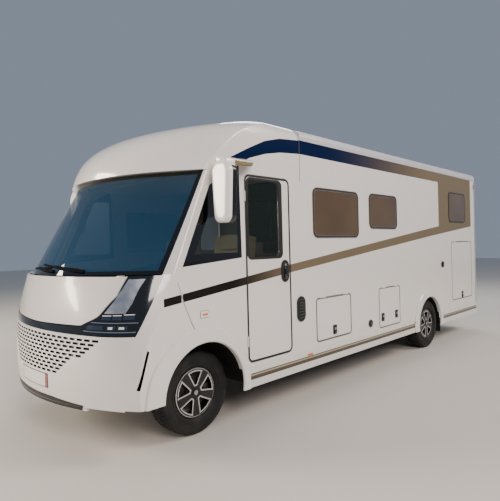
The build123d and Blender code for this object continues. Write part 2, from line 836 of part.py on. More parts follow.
with BuildPart() as front_axle:
    block((-500, 500), (aft(-70), aft(70)), (200, 290))
    for side in (-1, 1):
        with BuildSketch(Plane.XY.offset(lower_arm_top - arm_thick)):
            with BuildLine():
                Polyline((side * 430, aft(-110)), (side * pivot_x, aft(-28)), (side * (pivot_x + 28), aft(0)),
                         (side * pivot_x, aft(28)), (side * 430, aft(230)), close=True)
            make_face()
        extrude(amount=arm_thick)
        block(sorted((side * 430, side * 470)), (aft(-40), aft(40)), (290, 420 - seat))
        block(sorted((side * (strut_x - 30), side * (pivot_x + 24))), (aft(-22), aft(22)),
              (upper_arm_bottom, upper_arm_bottom + arm_thick))
        rod((side * strut_x, aft(0), upper_arm_bottom),
            (side * strut_x, aft(0), hub_height + front_housing - housing_wall - 1),
            strut_radius)
save(front_axle, "front_axle")

# Knuckles with hub flange, and the rear axle with trailing arms

front_wheel_x = front_track / 2
rear_wheel_x = rear_track / 2
mount_offset = 68
hub_flange = 75


def knuckle(side):
    with BuildPart() as body:
        x = side * pivot_x
        block((x - 32, x + 32), (aft(-50), aft(50)), (lower_arm_top + 25, upper_arm_bottom - 25))
        rod((x, aft(0), lower_arm_top + seat), (x, aft(0), upper_arm_bottom - seat), ball_radius)
        face = side * (front_wheel_x + mount_offset - seat)
        rod((x, aft(0), hub_height), (face, aft(0), hub_height), 42)
        rod((face - side * 14, aft(0), hub_height), (face, aft(0), hub_height), hub_flange)
    return body


knuckle_left = knuckle(1)
save(knuckle_left, "knuckle_left")
knuckle_right = knuckle(-1)
save(knuckle_right, "knuckle_right")

beam_z = 300
beam_radius = 38
arm_x = 815
beam_y = from_rear_axle(-180)

with BuildPart() as rear_axle:
    rod((-arm_x, beam_y, beam_z), (arm_x, beam_y, beam_z), beam_radius)
    for side in (-1, 1):
        with BuildSketch(Plane.YZ.offset(side * arm_x - 25)):
            with BuildLine():
                Polyline((beam_y - 45, beam_z - 45), (beam_y - 45, beam_z + 45),
                         (from_rear_axle(50), hub_height + 50),
                         (from_rear_axle(50), hub_height - 50), (beam_y + 45, beam_z - 45), close=True)
            make_face()
        extrude(amount=50)
        face = side * (rear_wheel_x + mount_offset - seat)
        rod((side * arm_x, rear_axle_y, hub_height), (face, rear_axle_y, hub_height), 42)
        rod((face - side * 14, rear_axle_y, hub_height), (face, rear_axle_y, hub_height), hub_flange)
        block(sorted((side * 435, side * 495)), (beam_y - 50, beam_y + 50), (beam_z, 360 - seat))
save(rear_axle, "rear_axle")

# Wheels: a tyre on a rim with five wide spokes. Each is turned about its hub's axis.

tyre_radius = hub_height
tyre_half = 112
bead_radius = 206
rim_half = 84
rim_well = 6
face_x = mount_offset
face_thick = 20
spokes = 5
cap_radius = 34
window_root = 66
window_rim = 180
window_root_half = 9
window_angle = 21

tyre_outline = [
    # offset from the wheel's middle, radius
    (-76, bead_radius), (-76, bead_radius + 9), (-104, 236), (-tyre_half, 285), (-106, 330), (-88, tyre_radius - 6),
    (-60, tyre_radius),
]
rim_outline = [
    (-rim_half, bead_radius + 8), (-rim_half, bead_radius - 12), (-60, bead_radius - 18), (-20, 178), (30, 178),
    (60, bead_radius - 18), (rim_half, bead_radius - 12), (rim_half, bead_radius + 8), (rim_half - 7, bead_radius + 8),
    (rim_half - 7, bead_radius - seat), (55, bead_radius - 10), (26, 184), (-16, 184), (-55, bead_radius - 10),
    (-rim_half + 7, bead_radius - seat), (-rim_half + 7, bead_radius + 8),
]


def wheel_plane(centre):
    # Local x runs along the hub's axis and local y is the radius, upwards
    return Plane(origin=centre, x_dir=(1, 0, 0), z_dir=(0, -1, 0))


def tyre(centre):
    with BuildPart() as body:
        with BuildSketch(wheel_plane(centre)) as section:
            with BuildLine():
                Polyline(*tyre_outline, *[(-x, r) for x, r in reversed(tyre_outline)], close=True)
            make_face()
        revolve(section.sketch, axis=Axis(centre, (1, 0, 0)))
    return body


def rim(centre, side):
    with BuildPart() as body:
        with BuildSketch(wheel_plane(centre)) as section:
            with BuildLine():
                Polyline(*[(side * x, r) for x, r in rim_outline], close=True)
            make_face()
        revolve(section.sketch, axis=Axis(centre, (1, 0, 0)))
        face_plane = Plane(origin=Vector(*centre) + Vector(side * face_x, 0, 0), x_dir=(0, side, 0),
                           z_dir=(side, 0, 0))
        with BuildSketch(face_plane) as face:
            Circle(bead_radius - 12)
            for k in range(spokes):
                turn = 90 + k * 360 / spokes
                with BuildSketch(mode=Mode.PRIVATE) as window:
                    with BuildLine():
                        spread = radians(window_angle)
                        near = (window_root, window_root_half)
                        far = (window_rim * cos(spread), window_rim * sin(spread))
                        Polyline(near, far)
                        ThreePointArc(far, (window_rim, 0), (far[0], -far[1]))
                        Polyline((far[0], -far[1]), (near[0], -near[1]), near)
                    make_face()
                add(window.sketch.rotate(Axis.Z, turn), mode=Mode.SUBTRACT)
        extrude(face.sketch, amount=face_thick)
        with BuildSketch(face_plane.offset(face_thick)) as cap:
            Circle(cap_radius)
        extrude(cap.sketch, amount=6, taper=20)
    return body


for name, y, x in (("front_left", front_axle_y, front_wheel_x), ("front_right", front_axle_y, -front_wheel_x),
                   ("rear_left", rear_axle_y, rear_wheel_x), ("rear_right", rear_axle_y, -rear_wheel_x)):
    centre = (x, y, hub_height)
    save(tyre(centre), "tyre_" + name)
    save(rim(centre, 1 if x > 0 else -1), "rim_" + name)

# Tanks and exhaust under the floor

with BuildPart() as tanks:
    block((560, 1060), (aft(1700), aft(3500)), (345, floor_bottom - seat))
    block((-1060, -560), (aft(700), aft(1700)), (345, floor_bottom - seat))
    fillet(tanks.edges().filter_by(Axis.Y), radius=40)
save(tanks, "tanks")

with BuildPart() as exhaust:
    pipe_x = -250
    pipe_z = 330
    rod((pipe_x, aft(-250), pipe_z), (pipe_x, aft(3250), pipe_z), 28)
    rod((pipe_x, aft(1500), pipe_z), (pipe_x, aft(2200), pipe_z), 85)
    for y in (aft(180), aft(2130), aft(3230)):
        rod((pipe_x, y, pipe_z), (pipe_x, y, floor_bottom - 90 - seat), 8)
save(exhaust, "exhaust")

# Cab: dashboard with the cowl and the steering wheel, seats and the drop-down bed

cowl_bottom = screen_bottom - 38
cowl_thick = 4
cowl_half = 790

with BuildPart() as dashboard:
    with BuildSketch(Plane.XY.offset(shelf_bottom)):
        add(plan_outline((0, 118, 374, 674, 0), aft(-150), 44, 12))
    extrude(amount=18)
    with BuildSketch(Plane.XY.offset(cowl_bottom)):
        add(plan_outline((0, 90, 277, 674, 0), aft(-150), 30, 12))
        add(plan_outline((0, 118, 374, 674, 0), aft(-150), 56, 12), mode=Mode.SUBTRACT)
        Rectangle(2 * cowl_half, length, mode=Mode.INTERSECT)
    extrude(amount=cowl_thick)
    with BuildSketch(Plane.XY.offset(cowl_bottom)):
        add(plan_outline((0, 118, 374, 674, 0), aft(-150), 44, 12))
        add(plan_outline((0, 118, 374, 674, 0), aft(-150), 56, 12), mode=Mode.SUBTRACT)
        Rectangle(2 * cowl_half, length, mode=Mode.INTERSECT)
    extrude(amount=shelf_bottom - cowl_bottom)
    side_outline([(aft(-262), screen_bottom - 20), (aft(-60), screen_bottom - 5), (aft(20), screen_bottom - 80),
                  (aft(-30), 1000), (aft(-262), 900)], inner_half - 12, 2 * inner_half - 24)
    for side in (-1, 1):
        block(sorted((side * (front_housing_inner - 10), side * half_width)), (aft(-500), aft(60)), (850, 905),
              Mode.SUBTRACT)
    hood = (480, aft(-10), screen_bottom - 30)
    column_top = (480, aft(165), screen_bottom - 70)
    rod(hood, column_top, 28)
    tilt = Plane(origin=column_top, z_dir=(0, cos(radians(25)), sin(radians(25))))
    with BuildSketch(tilt):
        Circle(195)
        Circle(165, mode=Mode.SUBTRACT)
        Circle(50)
        for turn in (0, 180, 270):
            with Locations(Rotation(0, 0, turn)):
                with Locations((110, 0)):
                    Rectangle(125, 34)
    extrude(amount=26)
save(dashboard, "dashboard")

seat_x = 470
seat_half = 255

with BuildPart() as cab_seats:
    for side in (-1, 1):
        x = side * seat_x
        block((x - 190, x + 190), (aft(480), aft(860)), (floor_top + seat, 880))
        side_outline([(aft(380), 880), (aft(380), 1020), (aft(820), 1000), (aft(960), 1720), (aft(1080), 1700),
                      (aft(960), 880)], x + seat_half, 2 * seat_half)
    fillet(cab_seats.edges().filter_by(Axis.X).group_by(Axis.Z)[-1], radius=30)
save(cab_seats, "cab_seats")

bed_bottom = roof_top - 495

with BuildPart() as drop_bed:
    block((-floor_half, floor_half), (aft(210), aft(1240)), (bed_bottom, bed_bottom + 30))
    block((-980, 980), (aft(60), aft(1240)), (bed_bottom + 30, bed_bottom + 150))
    fillet(drop_bed.edges().filter_by(Axis.X).group_by(Axis.Z)[-1], radius=40)
save(drop_bed, "drop_bed")

# Living space: seats, furniture, and the rear bed over the garage

with BuildPart() as dinette:
    side_outline([(aft(1980), living_floor + seat), (aft(1980), 1230), (aft(2380), 1230), (aft(2400), 1700),
                  (aft(2480), 1700), (aft(2480), living_floor + seat)], fitting_half, 600)
    side_outline([(aft(1330), living_floor + seat), (aft(1330), 1230), (aft(1640), 1230),
                  (aft(1640), living_floor + seat)], -600, floor_half - 600)
save(dinette, "dinette")

furniture_boxes = [
    # x range, y range, z range
    ((520, fitting_half), (aft(2540), aft(3620)), (living_floor + seat, 1700)),
    ((420, floor_half), (aft(3680), from_rear_axle(400)), (living_floor + seat, 2600)),
    ((-floor_half, -420), (aft(3400), from_rear_axle(400)), (living_floor + seat, 2600)),
    ((-floor_half, -560), (aft(2560), aft(3340)), (living_floor + seat, 1660)),
    ((780, floor_half), (aft(1340), aft(3600)), (2330, 2640)),
    ((-floor_half, -780), (aft(2420), aft(3340)), (2330, 2640)),
]

with BuildPart() as furniture:
    for x_range, y_range, z_range in furniture_boxes:
        block(x_range, y_range, z_range)
    block((420, 1000), (aft(1500), aft(1880)), (1490, 1520))
    rod((700, aft(1690), living_floor + seat), (700, aft(1690), 1500), 40)
save(furniture, "furniture")

bed_base = 1625

with BuildPart() as rear_bed:
    block((-floor_half, floor_half), (from_rear_axle(552), from_rear_axle(582)), (floor_top + seat, bed_base))
    block((-floor_half, floor_half), (from_rear_axle(552), wall_rear - seat), (bed_base, bed_base + 30))
    block((28 - inner_half, inner_half - 28), (from_rear_axle(600), wall_rear - 20),
          (bed_base + 30, bed_base + 180))
save(rear_bed, "rear_bed")

# Mirrors, rear lamps and the two roof lids

mirror_front = aft(30)
mirror_depth = 115
mirror_top = roof_top - 495
mirror_bottom = roof_top - 995
arm_root = (half_width + 18, aft(480), roof_top - 429)
arm_fall = radians(17)
blade_thick = 50
arm_plane = Plane(origin=arm_root, x_dir=(cos(arm_fall), 0, -sin(arm_fall)), z_dir=(sin(arm_fall), 0, cos(arm_fall)))

# A broad arm falls from the roof cap's side to the head, which hangs from its end
with BuildPart() as mirrors:
    with BuildSketch(Plane.XZ.offset(-mirror_front)) as head:
        with BuildLine():
            Polyline((half_width + 75, mirror_top - 60), (half_width + 122, mirror_top), (half_width + 250, mirror_top),
                     (half_width + 290, mirror_top - 70), (half_width + 265, mirror_bottom + 40),
                     (half_width + 230, mirror_bottom), (half_width + 130, mirror_bottom),
                     (half_width + 95, mirror_bottom + 40), close=True)
        make_face()
        fillet(head.vertices(), radius=22)
    extrude(amount=-mirror_depth)
    fillet(mirrors.faces().group_by(Axis.Y)[0].edges(), radius=28)
    with BuildSketch(Plane.YZ.offset(half_width)):
        with Locations((arm_root[1], arm_root[2])):
            RectangleRounded(88, 60, 20)
    extrude(amount=18)
    with BuildSketch(arm_plane.offset(-blade_thick / 2)):
        with BuildLine():
            Polyline((-5, -85), (-5, 85), (42, 85), (132, -10), (204, -180), (236, -330), (236, -436), (98, -436),
                     (90, -320), (50, -180), close=True)
        make_face()
    extrude(amount=blade_thick)
    mirror(about=Plane.YZ)
save(mirrors, "mirrors")

lamp_bottom = 560
lamp_top = 900

with BuildPart() as rear_lamps:
    with BuildSketch(Plane.XZ.offset(-rear_skin_y)):
        for side in (-1, 1):
            with Locations((side * (half_width - 130), (lamp_bottom + lamp_top) / 2)):
                RectangleRounded(130, lamp_top - lamp_bottom, 30)
        with Locations((0, roof_top - 90)):
            RectangleRounded(300, 28, 10)
    extrude(amount=-12)
save(rear_lamps, "rear_lamps")

lid_rise = 31
lid_overlap = 30
lid_clear = 5
lid_bottom = roof_top + hatch_frame + lid_clear

for name, (front, rear, half) in hatch_boxes.items():
    hinge_y, hinge_z = roof_hinge(front)
    with BuildPart() as roof_lid:
        with BuildSketch(Plane.XY.offset(lid_bottom)):
            with Locations((0, (front + rear) / 2)):
                RectangleRounded(2 * (half + lid_overlap), rear - front + 2 * lid_overlap, 45)
        extrude(amount=lid_rise, taper=18)
        for side in (-1, 1):
            x = side * (half - 100)
            block(sorted((x, x - side * roof_knuckle)), (hinge_y, front - 10), (hinge_z - 6, hinge_z + 6))
            rod((x, hinge_y, hinge_z), (x - side * roof_knuckle, hinge_y, hinge_z), roof_pin + 5)
            rod((x, hinge_y, hinge_z), (x - side * roof_knuckle, hinge_y, hinge_z), roof_pin + seat, Mode.SUBTRACT)
    save(roof_lid, name)
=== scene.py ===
import bpy
from math import atan2, cos, hypot, pi, radians, sin
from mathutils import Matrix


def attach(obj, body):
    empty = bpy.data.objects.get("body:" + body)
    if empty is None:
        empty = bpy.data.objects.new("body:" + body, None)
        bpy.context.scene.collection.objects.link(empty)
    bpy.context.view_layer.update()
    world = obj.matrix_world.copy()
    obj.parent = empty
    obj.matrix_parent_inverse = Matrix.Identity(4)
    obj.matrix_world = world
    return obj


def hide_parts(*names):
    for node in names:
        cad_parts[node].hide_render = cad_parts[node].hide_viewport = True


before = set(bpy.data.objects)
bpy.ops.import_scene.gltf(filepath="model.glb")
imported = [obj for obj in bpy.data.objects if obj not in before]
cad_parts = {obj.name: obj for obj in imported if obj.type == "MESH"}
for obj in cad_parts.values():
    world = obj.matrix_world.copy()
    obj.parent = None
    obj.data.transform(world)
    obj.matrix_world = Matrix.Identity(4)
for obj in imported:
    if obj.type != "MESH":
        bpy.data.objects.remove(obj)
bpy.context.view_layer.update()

# Metres, as the frame: front towards -Y, the vehicle's left towards +X, Z up.
frontAxle = -2.725       # y of the axles
rearAxle = 1.675
sideX = 1.15             # the side walls' outer face
sunk = 0.0008            # a fitting's foot lies this far inside the face that carries it
sides = ((1, "Left"), (-1, "Right"))
print("frame loaded")


# camera at the photograph's place

view = {
    "place": (4.1141, -5.1828, 1.5992),
    "turn": (89.529, 1.4719, 44.5701),   # degrees about X, Y, Z
    "lens": 33.05,
    "sensor": 36,
}
bpy.ops.object.camera_add(location=view["place"], rotation=[radians(v) for v in view["turn"]])
camera = bpy.context.object
camera.name = "camera"
camera.data.lens = view["lens"]
camera.data.sensor_width = view["sensor"]
bpy.context.scene.camera = camera


# small helpers for modelling

def deselectAll():
    if bpy.context.object and bpy.context.object.mode != "OBJECT":
        bpy.ops.object.mode_set(mode="OBJECT")
    bpy.ops.object.select_all(action="DESELECT")


def activate(obj):
    deselectAll()
    obj.select_set(True)
    bpy.context.view_layer.objects.active = obj


def editAll(obj):
    # edit mode with the whole mesh selected
    activate(obj)
    bpy.ops.object.mode_set(mode="EDIT")
    bpy.ops.mesh.select_all(action="SELECT")


def leaveEdit():
    bpy.ops.object.mode_set(mode="OBJECT")


def bakePlace(obj):
    # place, turn and size go into the mesh, so the object stays at the origin
    activate(obj)
    bpy.ops.object.transform_apply(location=True, rotation=True, scale=True)


def applyModifier(obj, kind, **settings):
    activate(obj)
    modifier = obj.modifiers.new(kind.lower(), kind)
    for key, value in settings.items():
        setattr(modifier, key, value)
    bpy.ops.object.modifier_apply(modifier=modifier.name)


def roundEdges(obj, width, segments=2):
    applyModifier(obj, "BEVEL", width=width, segments=segments, limit_method="ANGLE",
                  angle_limit=radians(35), use_clamp_overlap=True)


def smooth(obj, angle=38):
    activate(obj)
    bpy.ops.object.shade_smooth_by_angle(angle=radians(angle))


def outwards(obj):
    editAll(obj)
    bpy.ops.mesh.remove_doubles(threshold=0.00005)
    bpy.ops.mesh.normals_make_consistent(inside=False)
    leaveEdit()


def addBox(name, low, high):
    # low and high are opposite corners
    deselectAll()
    bpy.ops.mesh.primitive_cube_add(size=1, location=[(a + b) / 2 for a, b in zip(low, high)])
    obj = bpy.context.object
    obj.name = name
    obj.scale = [b - a for a, b in zip(low, high)]
    bakePlace(obj)
    return obj


def sideBox(name, side, xs, ys, zs):
    # a box on one side of the vehicle, with its ranges along the axes. xs are distances from the middle
    left, right = sorted(side * x for x in xs)
    return addBox(name, (left, ys[0], zs[0]), (right, ys[1], zs[1]))


def addDisc(name, centre, radius, depth, corners=48):
    # a round disc whose axis runs across the vehicle
    deselectAll()
    bpy.ops.mesh.primitive_cylinder_add(vertices=corners, radius=radius, depth=depth, location=centre,
                                        rotation=(0, pi / 2, 0))
    obj = bpy.context.object
    obj.name = name
    bakePlace(obj)
    return obj


def addCopy(name, node):
    # a merged copy of a solid of the frame, on an object of its own
    deselectAll()
    bpy.ops.mesh.primitive_cube_add(size=1)
    obj = bpy.context.object
    obj.name = name
    obj.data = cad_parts[node].data.copy()
    editAll(obj)
    bpy.ops.mesh.remove_doubles(threshold=0.00002)
    bpy.ops.mesh.dissolve_limited(angle_limit=radians(0.6))
    leaveEdit()
    return obj


def drawOutline(name, points):
    # a face drawn point by point: one vertex is extruded along the outline and the loop is filled
    deselectAll()
    bpy.ops.mesh.primitive_plane_add(size=0.001, location=points[0])
    obj = bpy.context.object
    obj.name = name
    bakePlace(obj)
    bpy.ops.object.mode_set(mode="EDIT")
    bpy.ops.mesh.select_mode(type="VERT")
    bpy.ops.mesh.select_all(action="SELECT")
    bpy.ops.mesh.merge(type="CENTER")
    for before, after in zip(points, points[1:]):
        step = [b - a for a, b in zip(before, after)]
        bpy.ops.mesh.extrude_vertices_move(TRANSFORM_OT_translate={"value": step})
    bpy.ops.mesh.select_all(action="SELECT")
    bpy.ops.mesh.edge_face_add()
    leaveEdit()
    return obj


def pushOut(obj, move):
    # the whole face is extruded, which closes it to a solid
    editAll(obj)
    bpy.ops.mesh.extrude_region_move(TRANSFORM_OT_translate={"value": move})
    leaveEdit()
    outwards(obj)


def roundedCorners(low, high, radius):
    # a rounded rectangle as two coordinates, anticlockwise from the lower right corner
    steps = 6            # straight pieces in each quarter round
    corners = [((high[0] - radius, low[1] + radius), -90), ((high[0] - radius, high[1] - radius), 0),
               ((low[0] + radius, high[1] - radius), 90), ((low[0] + radius, low[1] + radius), 180)]
    points = []
    for (u, v), start in corners:
        for k in range(steps + 1):
            a = radians(start + 90 * k / steps)
            points.append((u + radius * cos(a), v + radius * sin(a)))
    return points


def sidePlate(name, low, high, radius, x, thick):
    # a rounded plate in side view. low and high are (y, z), and x is the face that it stands on
    obj = drawOutline(name, [(x, y, z) for y, z in roundedCorners(low, high, radius)])
    pushOut(obj, (thick, 0, 0))
    return obj


def sideRing(name, low, high, radius, x, thick, inner):
    # a rounded frame in side view, inner metres wide inside the outline
    obj = drawOutline(name, [(x, y, z) for y, z in roundedCorners(low, high, radius)])
    editAll(obj)
    bpy.ops.mesh.inset(thickness=inner, depth=0)
    bpy.ops.mesh.delete(type="FACE")
    leaveEdit()
    pushOut(obj, (thick, 0, 0))
    return obj


def mirrored(obj, name):
    # a copy on the other side of the vehicle, with its own mesh
    activate(obj)
    bpy.ops.object.duplicate()
    copy = bpy.context.object
    copy.name = name
    copy.scale = (-1, 1, 1)
    bakePlace(copy)
    outwards(copy)
    return copy


def joined(objects, name):
    deselectAll()
    for obj in objects:
        obj.select_set(True)
    bpy.context.view_layer.objects.active = objects[0]
    bpy.ops.object.join()
    objects[0].name = name
    return objects[0]


def dress(obj, material):
    obj.data.materials.clear()
    obj.data.materials.append(material)


def done(obj, body, material):
    # the last call on a new piece: its finish and its body
    dress(obj, material)
    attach(obj, body)


def fitted(obj, width, segments, body, material):
    # a piece with rounded, smoothly shaded edges
    roundEdges(obj, width, segments)
    smooth(obj)
    done(obj, body, material)


def bothSides(left, material):
    # a piece of the coach and its copy on the right
    for obj in (left, mirrored(left, left.name.replace("Left", "Right"))):
        done(obj, "coach", material)


# materials: one node at a time

def linear(hexColour):
    values = []
    for k in (0, 2, 4):
        c = int(hexColour[1 + k:3 + k], 16) / 255
        values.append(c / 12.92 if c <= 0.04045 else ((c + 0.055) / 1.055) ** 2.4)
    return (*values, 1.0)


def addNode(material, kind, settings=None, inputs=None):
    # settings are the node's own values. inputs are numbers, or sockets to link from
    node = material.node_tree.nodes.new(kind)
    for key, value in (settings or {}).items():
        setattr(node, key, value)
    for key, value in (inputs or {}).items():
        if isinstance(value, bpy.types.NodeSocket):
            material.node_tree.links.new(value, node.inputs[key])
        else:
            node.inputs[key].default_value = value
    return node


def newMaterial(name, colour, **values):
    material = bpy.data.materials.new(name)
    material.use_nodes = True
    shader = material.node_tree.nodes["Principled BSDF"]
    shader.inputs["Base Color"].default_value = linear(colour)
    for key, value in values.items():
        shader.inputs[key.replace("_", " ")].default_value = value
    return material, shader


def feed(material, shader, **sockets):
    # links to the shader's own sockets
    for key, socket in sockets.items():
        material.node_tree.links.new(socket, shader.inputs[key.replace("_", " ")])


def axesOf(material, what="Object"):
    # x, y and z of the spot on the object, or of the direction that its face looks in
    source = addNode(material, "ShaderNodeTexCoord" if what == "Object" else "ShaderNodeNewGeometry")
    split = addNode(material, "ShaderNodeSeparateXYZ", inputs={"Vector": source.outputs[what]})
    return [split.outputs[axis] for axis in "XYZ"]


def patches(material, mm, detail):
    # clouds between 0 and 1, about mm across
    where = addNode(material, "ShaderNodeTexCoord").outputs["Object"]
    clouds = addNode(material, "ShaderNodeTexNoise", inputs={"Vector": where, "Scale": 1000 / mm, "Detail": detail})
    return clouds.outputs["Fac"]


def combined(material, operation, first, *others):
    # MULTIPLY keeps what all the masks share, MAXIMUM what any of them has
    for mask in others:
        first = addNode(material, "ShaderNodeMath", {"operation": operation}, {0: first, 1: mask}).outputs[0]
    return first


def between(material, value, low=None, high=None):
    # a mask of 1 above low and below high, either of which may be left out
    limits = [(limit, test) for limit, test in ((low, "GREATER_THAN"), (high, "LESS_THAN")) if limit is not None]
    return combined(material, "MULTIPLY", *(
        addNode(material, "ShaderNodeMath", {"operation": test}, {0: value, 1: limit}).outputs[0]
        for limit, test in limits))


def distance(material, value, other=0.0):
    # how far two values lie apart
    gap = addNode(material, "ShaderNodeMath", {"operation": "SUBTRACT"}, {0: value, 1: other}).outputs[0]
    return addNode(material, "ShaderNodeMath", {"operation": "ABSOLUTE"}, {0: gap}).outputs[0]


def layered(material, base, *layers):
    # paint over paint: each layer is a mask and the colour that shows there, as hex or as a socket
    def colour(value):
        return linear(value) if isinstance(value, str) else value
    under = colour(base)
    for mask, over in layers:
        under = addNode(material, "ShaderNodeMix", {"data_type": "RGBA"},
                        {"Factor": mask, 6: under, 7: colour(over)}).outputs[2]
    return under


def varied(material, shader, mm, amount, low, high, bump=0.0, bumpMm=None, detail=4):
    # roughness that wanders between low and high over patches of that size, and a fine bump
    spread = addNode(material, "ShaderNodeMapRange", inputs={
        "Value": patches(material, mm, detail), "From Min": 0.5 - amount, "From Max": 0.5 + amount,
        "To Min": low, "To Max": high})
    feed(material, shader, Roughness=spread.outputs["Result"])
    if bump:
        relief = addNode(material, "ShaderNodeBump", inputs={
            "Strength": 1.0, "Distance": bump / 1000, "Height": patches(material, bumpMm or mm, 3)})
        feed(material, shader, Normal=relief.outputs["Normal"])


def tinted(material, shader, first, second, mm, low=0.4, high=0.6):
    # two near colours in soft patches, for dust and age
    spread = addNode(material, "ShaderNodeMapRange", inputs={
        "Value": patches(material, mm, 3), "From Min": low, "From Max": high})
    feed(material, shader, Base_Color=layered(material, first, (spread.outputs["Result"], second)))


# stripes on the sides: the upper and lower edges of each band are heights that change with y

stripes = {
    "gap": (-2.964, -2.954),     # the seam that cuts the long stripe on the fender
    "long": {"y": (-3.135, -1.599, 1.745, 3.465),
             "upper": (1.210, 1.410, 1.810, 2.0),
             "lower": (1.146, 1.330, 1.690, 1.860)},
    "block": {"y": (2.07, 3.47), "top": 2.66},
    "top": {"y": (-2.385, -2.155, -1.935, -1.715, -1.415, 0.335, 2.085, 3.47),
            "upper": (2.400, 2.510, 2.605, 2.660, 2.686, 2.684, 2.682, 2.680),
            "lower": (2.300, 2.415, 2.480, 2.520, 2.544, 2.540, 2.540, 2.540)},
    "fromMiddle": 1.09,          # they lie on the sides alone
    # each band's first colour, and where it turns to bronze
    "turns": (("#1b1816", -2.45, -1.45), ("#08183a", -1.0, 1.9)),
    "bronze": "#6f6351",
}
fenderSeam = {"y": (-2.996, -2.961, -2.880, -2.782), "z": (1.339, 1.205, 1.010, 0.832), "half": 0.011,
              "colour": "#8f8a86"}
# painted shade: the slit's walls are darkened to stand for the shade inside it
airSlitShade = {"y": (-3.400, -3.262), "z": (0.540, 0.850), "sideways": 0.3, "colour": "#060607"}
curveReach = {"y": (-4.0, 4.0), "z": (0.8, 2.8)}


def heightCurve(material, along, ys, zs):
    # a Float Curve that gives a height for each y. It runs from 0 to 1, so both are scaled
    (first, last), (low, high) = curveReach["y"], curveReach["z"]
    node = addNode(material, "ShaderNodeFloatCurve")
    curve = node.mapping.curves[0]
    spots = [((y - first) / (last - first), (z - low) / (high - low)) for y, z in zip(ys, zs)]
    curve.points[0].location = spots[0]
    curve.points[1].location = spots[-1]
    for spot in spots[1:-1]:
        curve.points.new(*spot)
    for point in curve.points:
        point.handle_type = "VECTOR"
    node.mapping.extend = "HORIZONTAL"
    node.mapping.update()
    share = addNode(material, "ShaderNodeMapRange", inputs={"Value": along, "From Min": first, "From Max": last})
    material.node_tree.links.new(share.outputs["Result"], node.inputs["Value"])
    scaled = addNode(material, "ShaderNodeMapRange", inputs={
        "Value": node.outputs["Value"], "To Min": low, "To Max": high})
    return scaled.outputs["Result"]


def gelcoat(name, colour, striped):
    # polyester gelcoat over glass fibre: gloss white, with a faint long wave in its reflections
    material, shader = newMaterial(name, colour, Coat_Weight=0.6, Coat_Roughness=0.04, Specular_IOR_Level=0.5)
    varied(material, shader, 260, 0.3, 0.16, 0.24, bump=0.25, bumpMm=420, detail=2)
    if not striped:
        tinted(material, shader, colour, "#e4e2dc", 900)
        return material
    x, y, z = axesOf(material)
    onSide = between(material, distance(material, x), stripes["fromMiddle"])
    gap, long, top, block = (stripes[part] for part in ("gap", "long", "top", "block"))
    foot = heightCurve(material, y, long["y"], long["lower"])
    inLong = combined(
        material, "MULTIPLY", between(material, z, foot, heightCurve(material, y, long["y"], long["upper"])),
        combined(material, "MAXIMUM", between(material, y, long["y"][0], gap[0]),
                 between(material, y, gap[1], long["y"][-1])))
    inTop = combined(
        material, "MULTIPLY", between(material, y, top["y"][0], top["y"][-1]),
        between(material, z, heightCurve(material, y, top["y"], top["lower"]),
                heightCurve(material, y, top["y"], top["upper"])))
    inBlock = combined(material, "MULTIPLY", between(material, y, *block["y"]),
                       between(material, z, foot, block["top"]))
    onStripe = combined(material, "MULTIPLY", combined(material, "MAXIMUM", inLong, inTop, inBlock), onSide)
    # navy and anthracite at the front turn to bronze further back
    bands = []
    for start, first, last in stripes["turns"]:
        share = addNode(material, "ShaderNodeMapRange", {"interpolation_type": "SMOOTHSTEP"},
                        {"Value": y, "From Min": first, "From Max": last})
        bands.append(layered(material, start, (share.outputs["Result"], stripes["bronze"])))
    foil = layered(material, bands[0], (inTop, bands[1]))
    # a light line along the seam between fender and side wall
    seam = distance(material, z, heightCurve(material, y, fenderSeam["y"], fenderSeam["z"]))
    onSeam = combined(material, "MULTIPLY", between(material, seam, high=fenderSeam["half"]),
                      between(material, y, fenderSeam["y"][0], fenderSeam["y"][-1]), onSide)
    # the walls of the air slit in the bumper's corner are painted near-black, painted shade inside the slit
    across = distance(material, axesOf(material, "Normal")[0])
    slitShade = combined(material, "MULTIPLY", between(material, y, *airSlitShade["y"]),
                      between(material, z, *airSlitShade["z"]), between(material, across, high=airSlitShade["sideways"]))
    feed(material, shader, Base_Color=layered(material, colour, (onStripe, foil), (onSeam, fenderSeam["colour"]),
                                              (slitShade, airSlitShade["colour"])))
    # the foil of the stripes is duller than the gelcoat
    for target, gloss, dull in (("Coat_Weight", 0.6, 0.0), ("Specular_IOR_Level", 0.5, 0.1)):
        sheen = addNode(material, "ShaderNodeMapRange", inputs={"Value": onStripe, "To Min": gloss, "To Max": dull})
        feed(material, shader, **{target: sheen.outputs["Result"]})
    return material


skirtLines = {"light": (0.412, 0.428), "darkUpper": (0.428, 0.437), "darkLower": (0.378, 0.412), "fromMiddle": 1.13}


def skirtPaint():
    # coil-coated aluminium: satin white with a double bronze line
    material, shader = newMaterial("coatedAluminiumSkirt", "#dcdad4", Coat_Weight=0.4)
    varied(material, shader, 180, 0.3, 0.2, 0.3, bump=0.1, bumpMm=300)
    x, z = axesOf(material)[::2]
    onSide = between(material, distance(material, x), skirtLines["fromMiddle"])
    light, upper, lower = (between(material, z, *skirtLines[line]) for line in ("light", "darkUpper", "darkLower"))
    dark = combined(material, "MAXIMUM", upper, lower)
    feed(material, shader, Base_Color=layered(
        material, "#dcdad4", (combined(material, "MULTIPLY", light, onSide), "#9d917a"),
        (combined(material, "MULTIPLY", dark, onSide), "#463b2e")))
    return material


def grilleMoulding():
    # moulded ABS, white where it looks forwards; the faces inside its slots are painted near-black as painted shade
    material, shader = newMaterial("grilleMoulding", "#e2e2e0", Coat_Weight=0.4)
    varied(material, shader, 120, 0.3, 0.18, 0.28)
    # painted shade: every face that does not look forwards is darkened
    inside = between(material, axesOf(material, "Normal")[1], -0.12)
    feed(material, shader, Base_Color=layered(material, "#e2e2e0", (inside, "#08080a")))
    return material


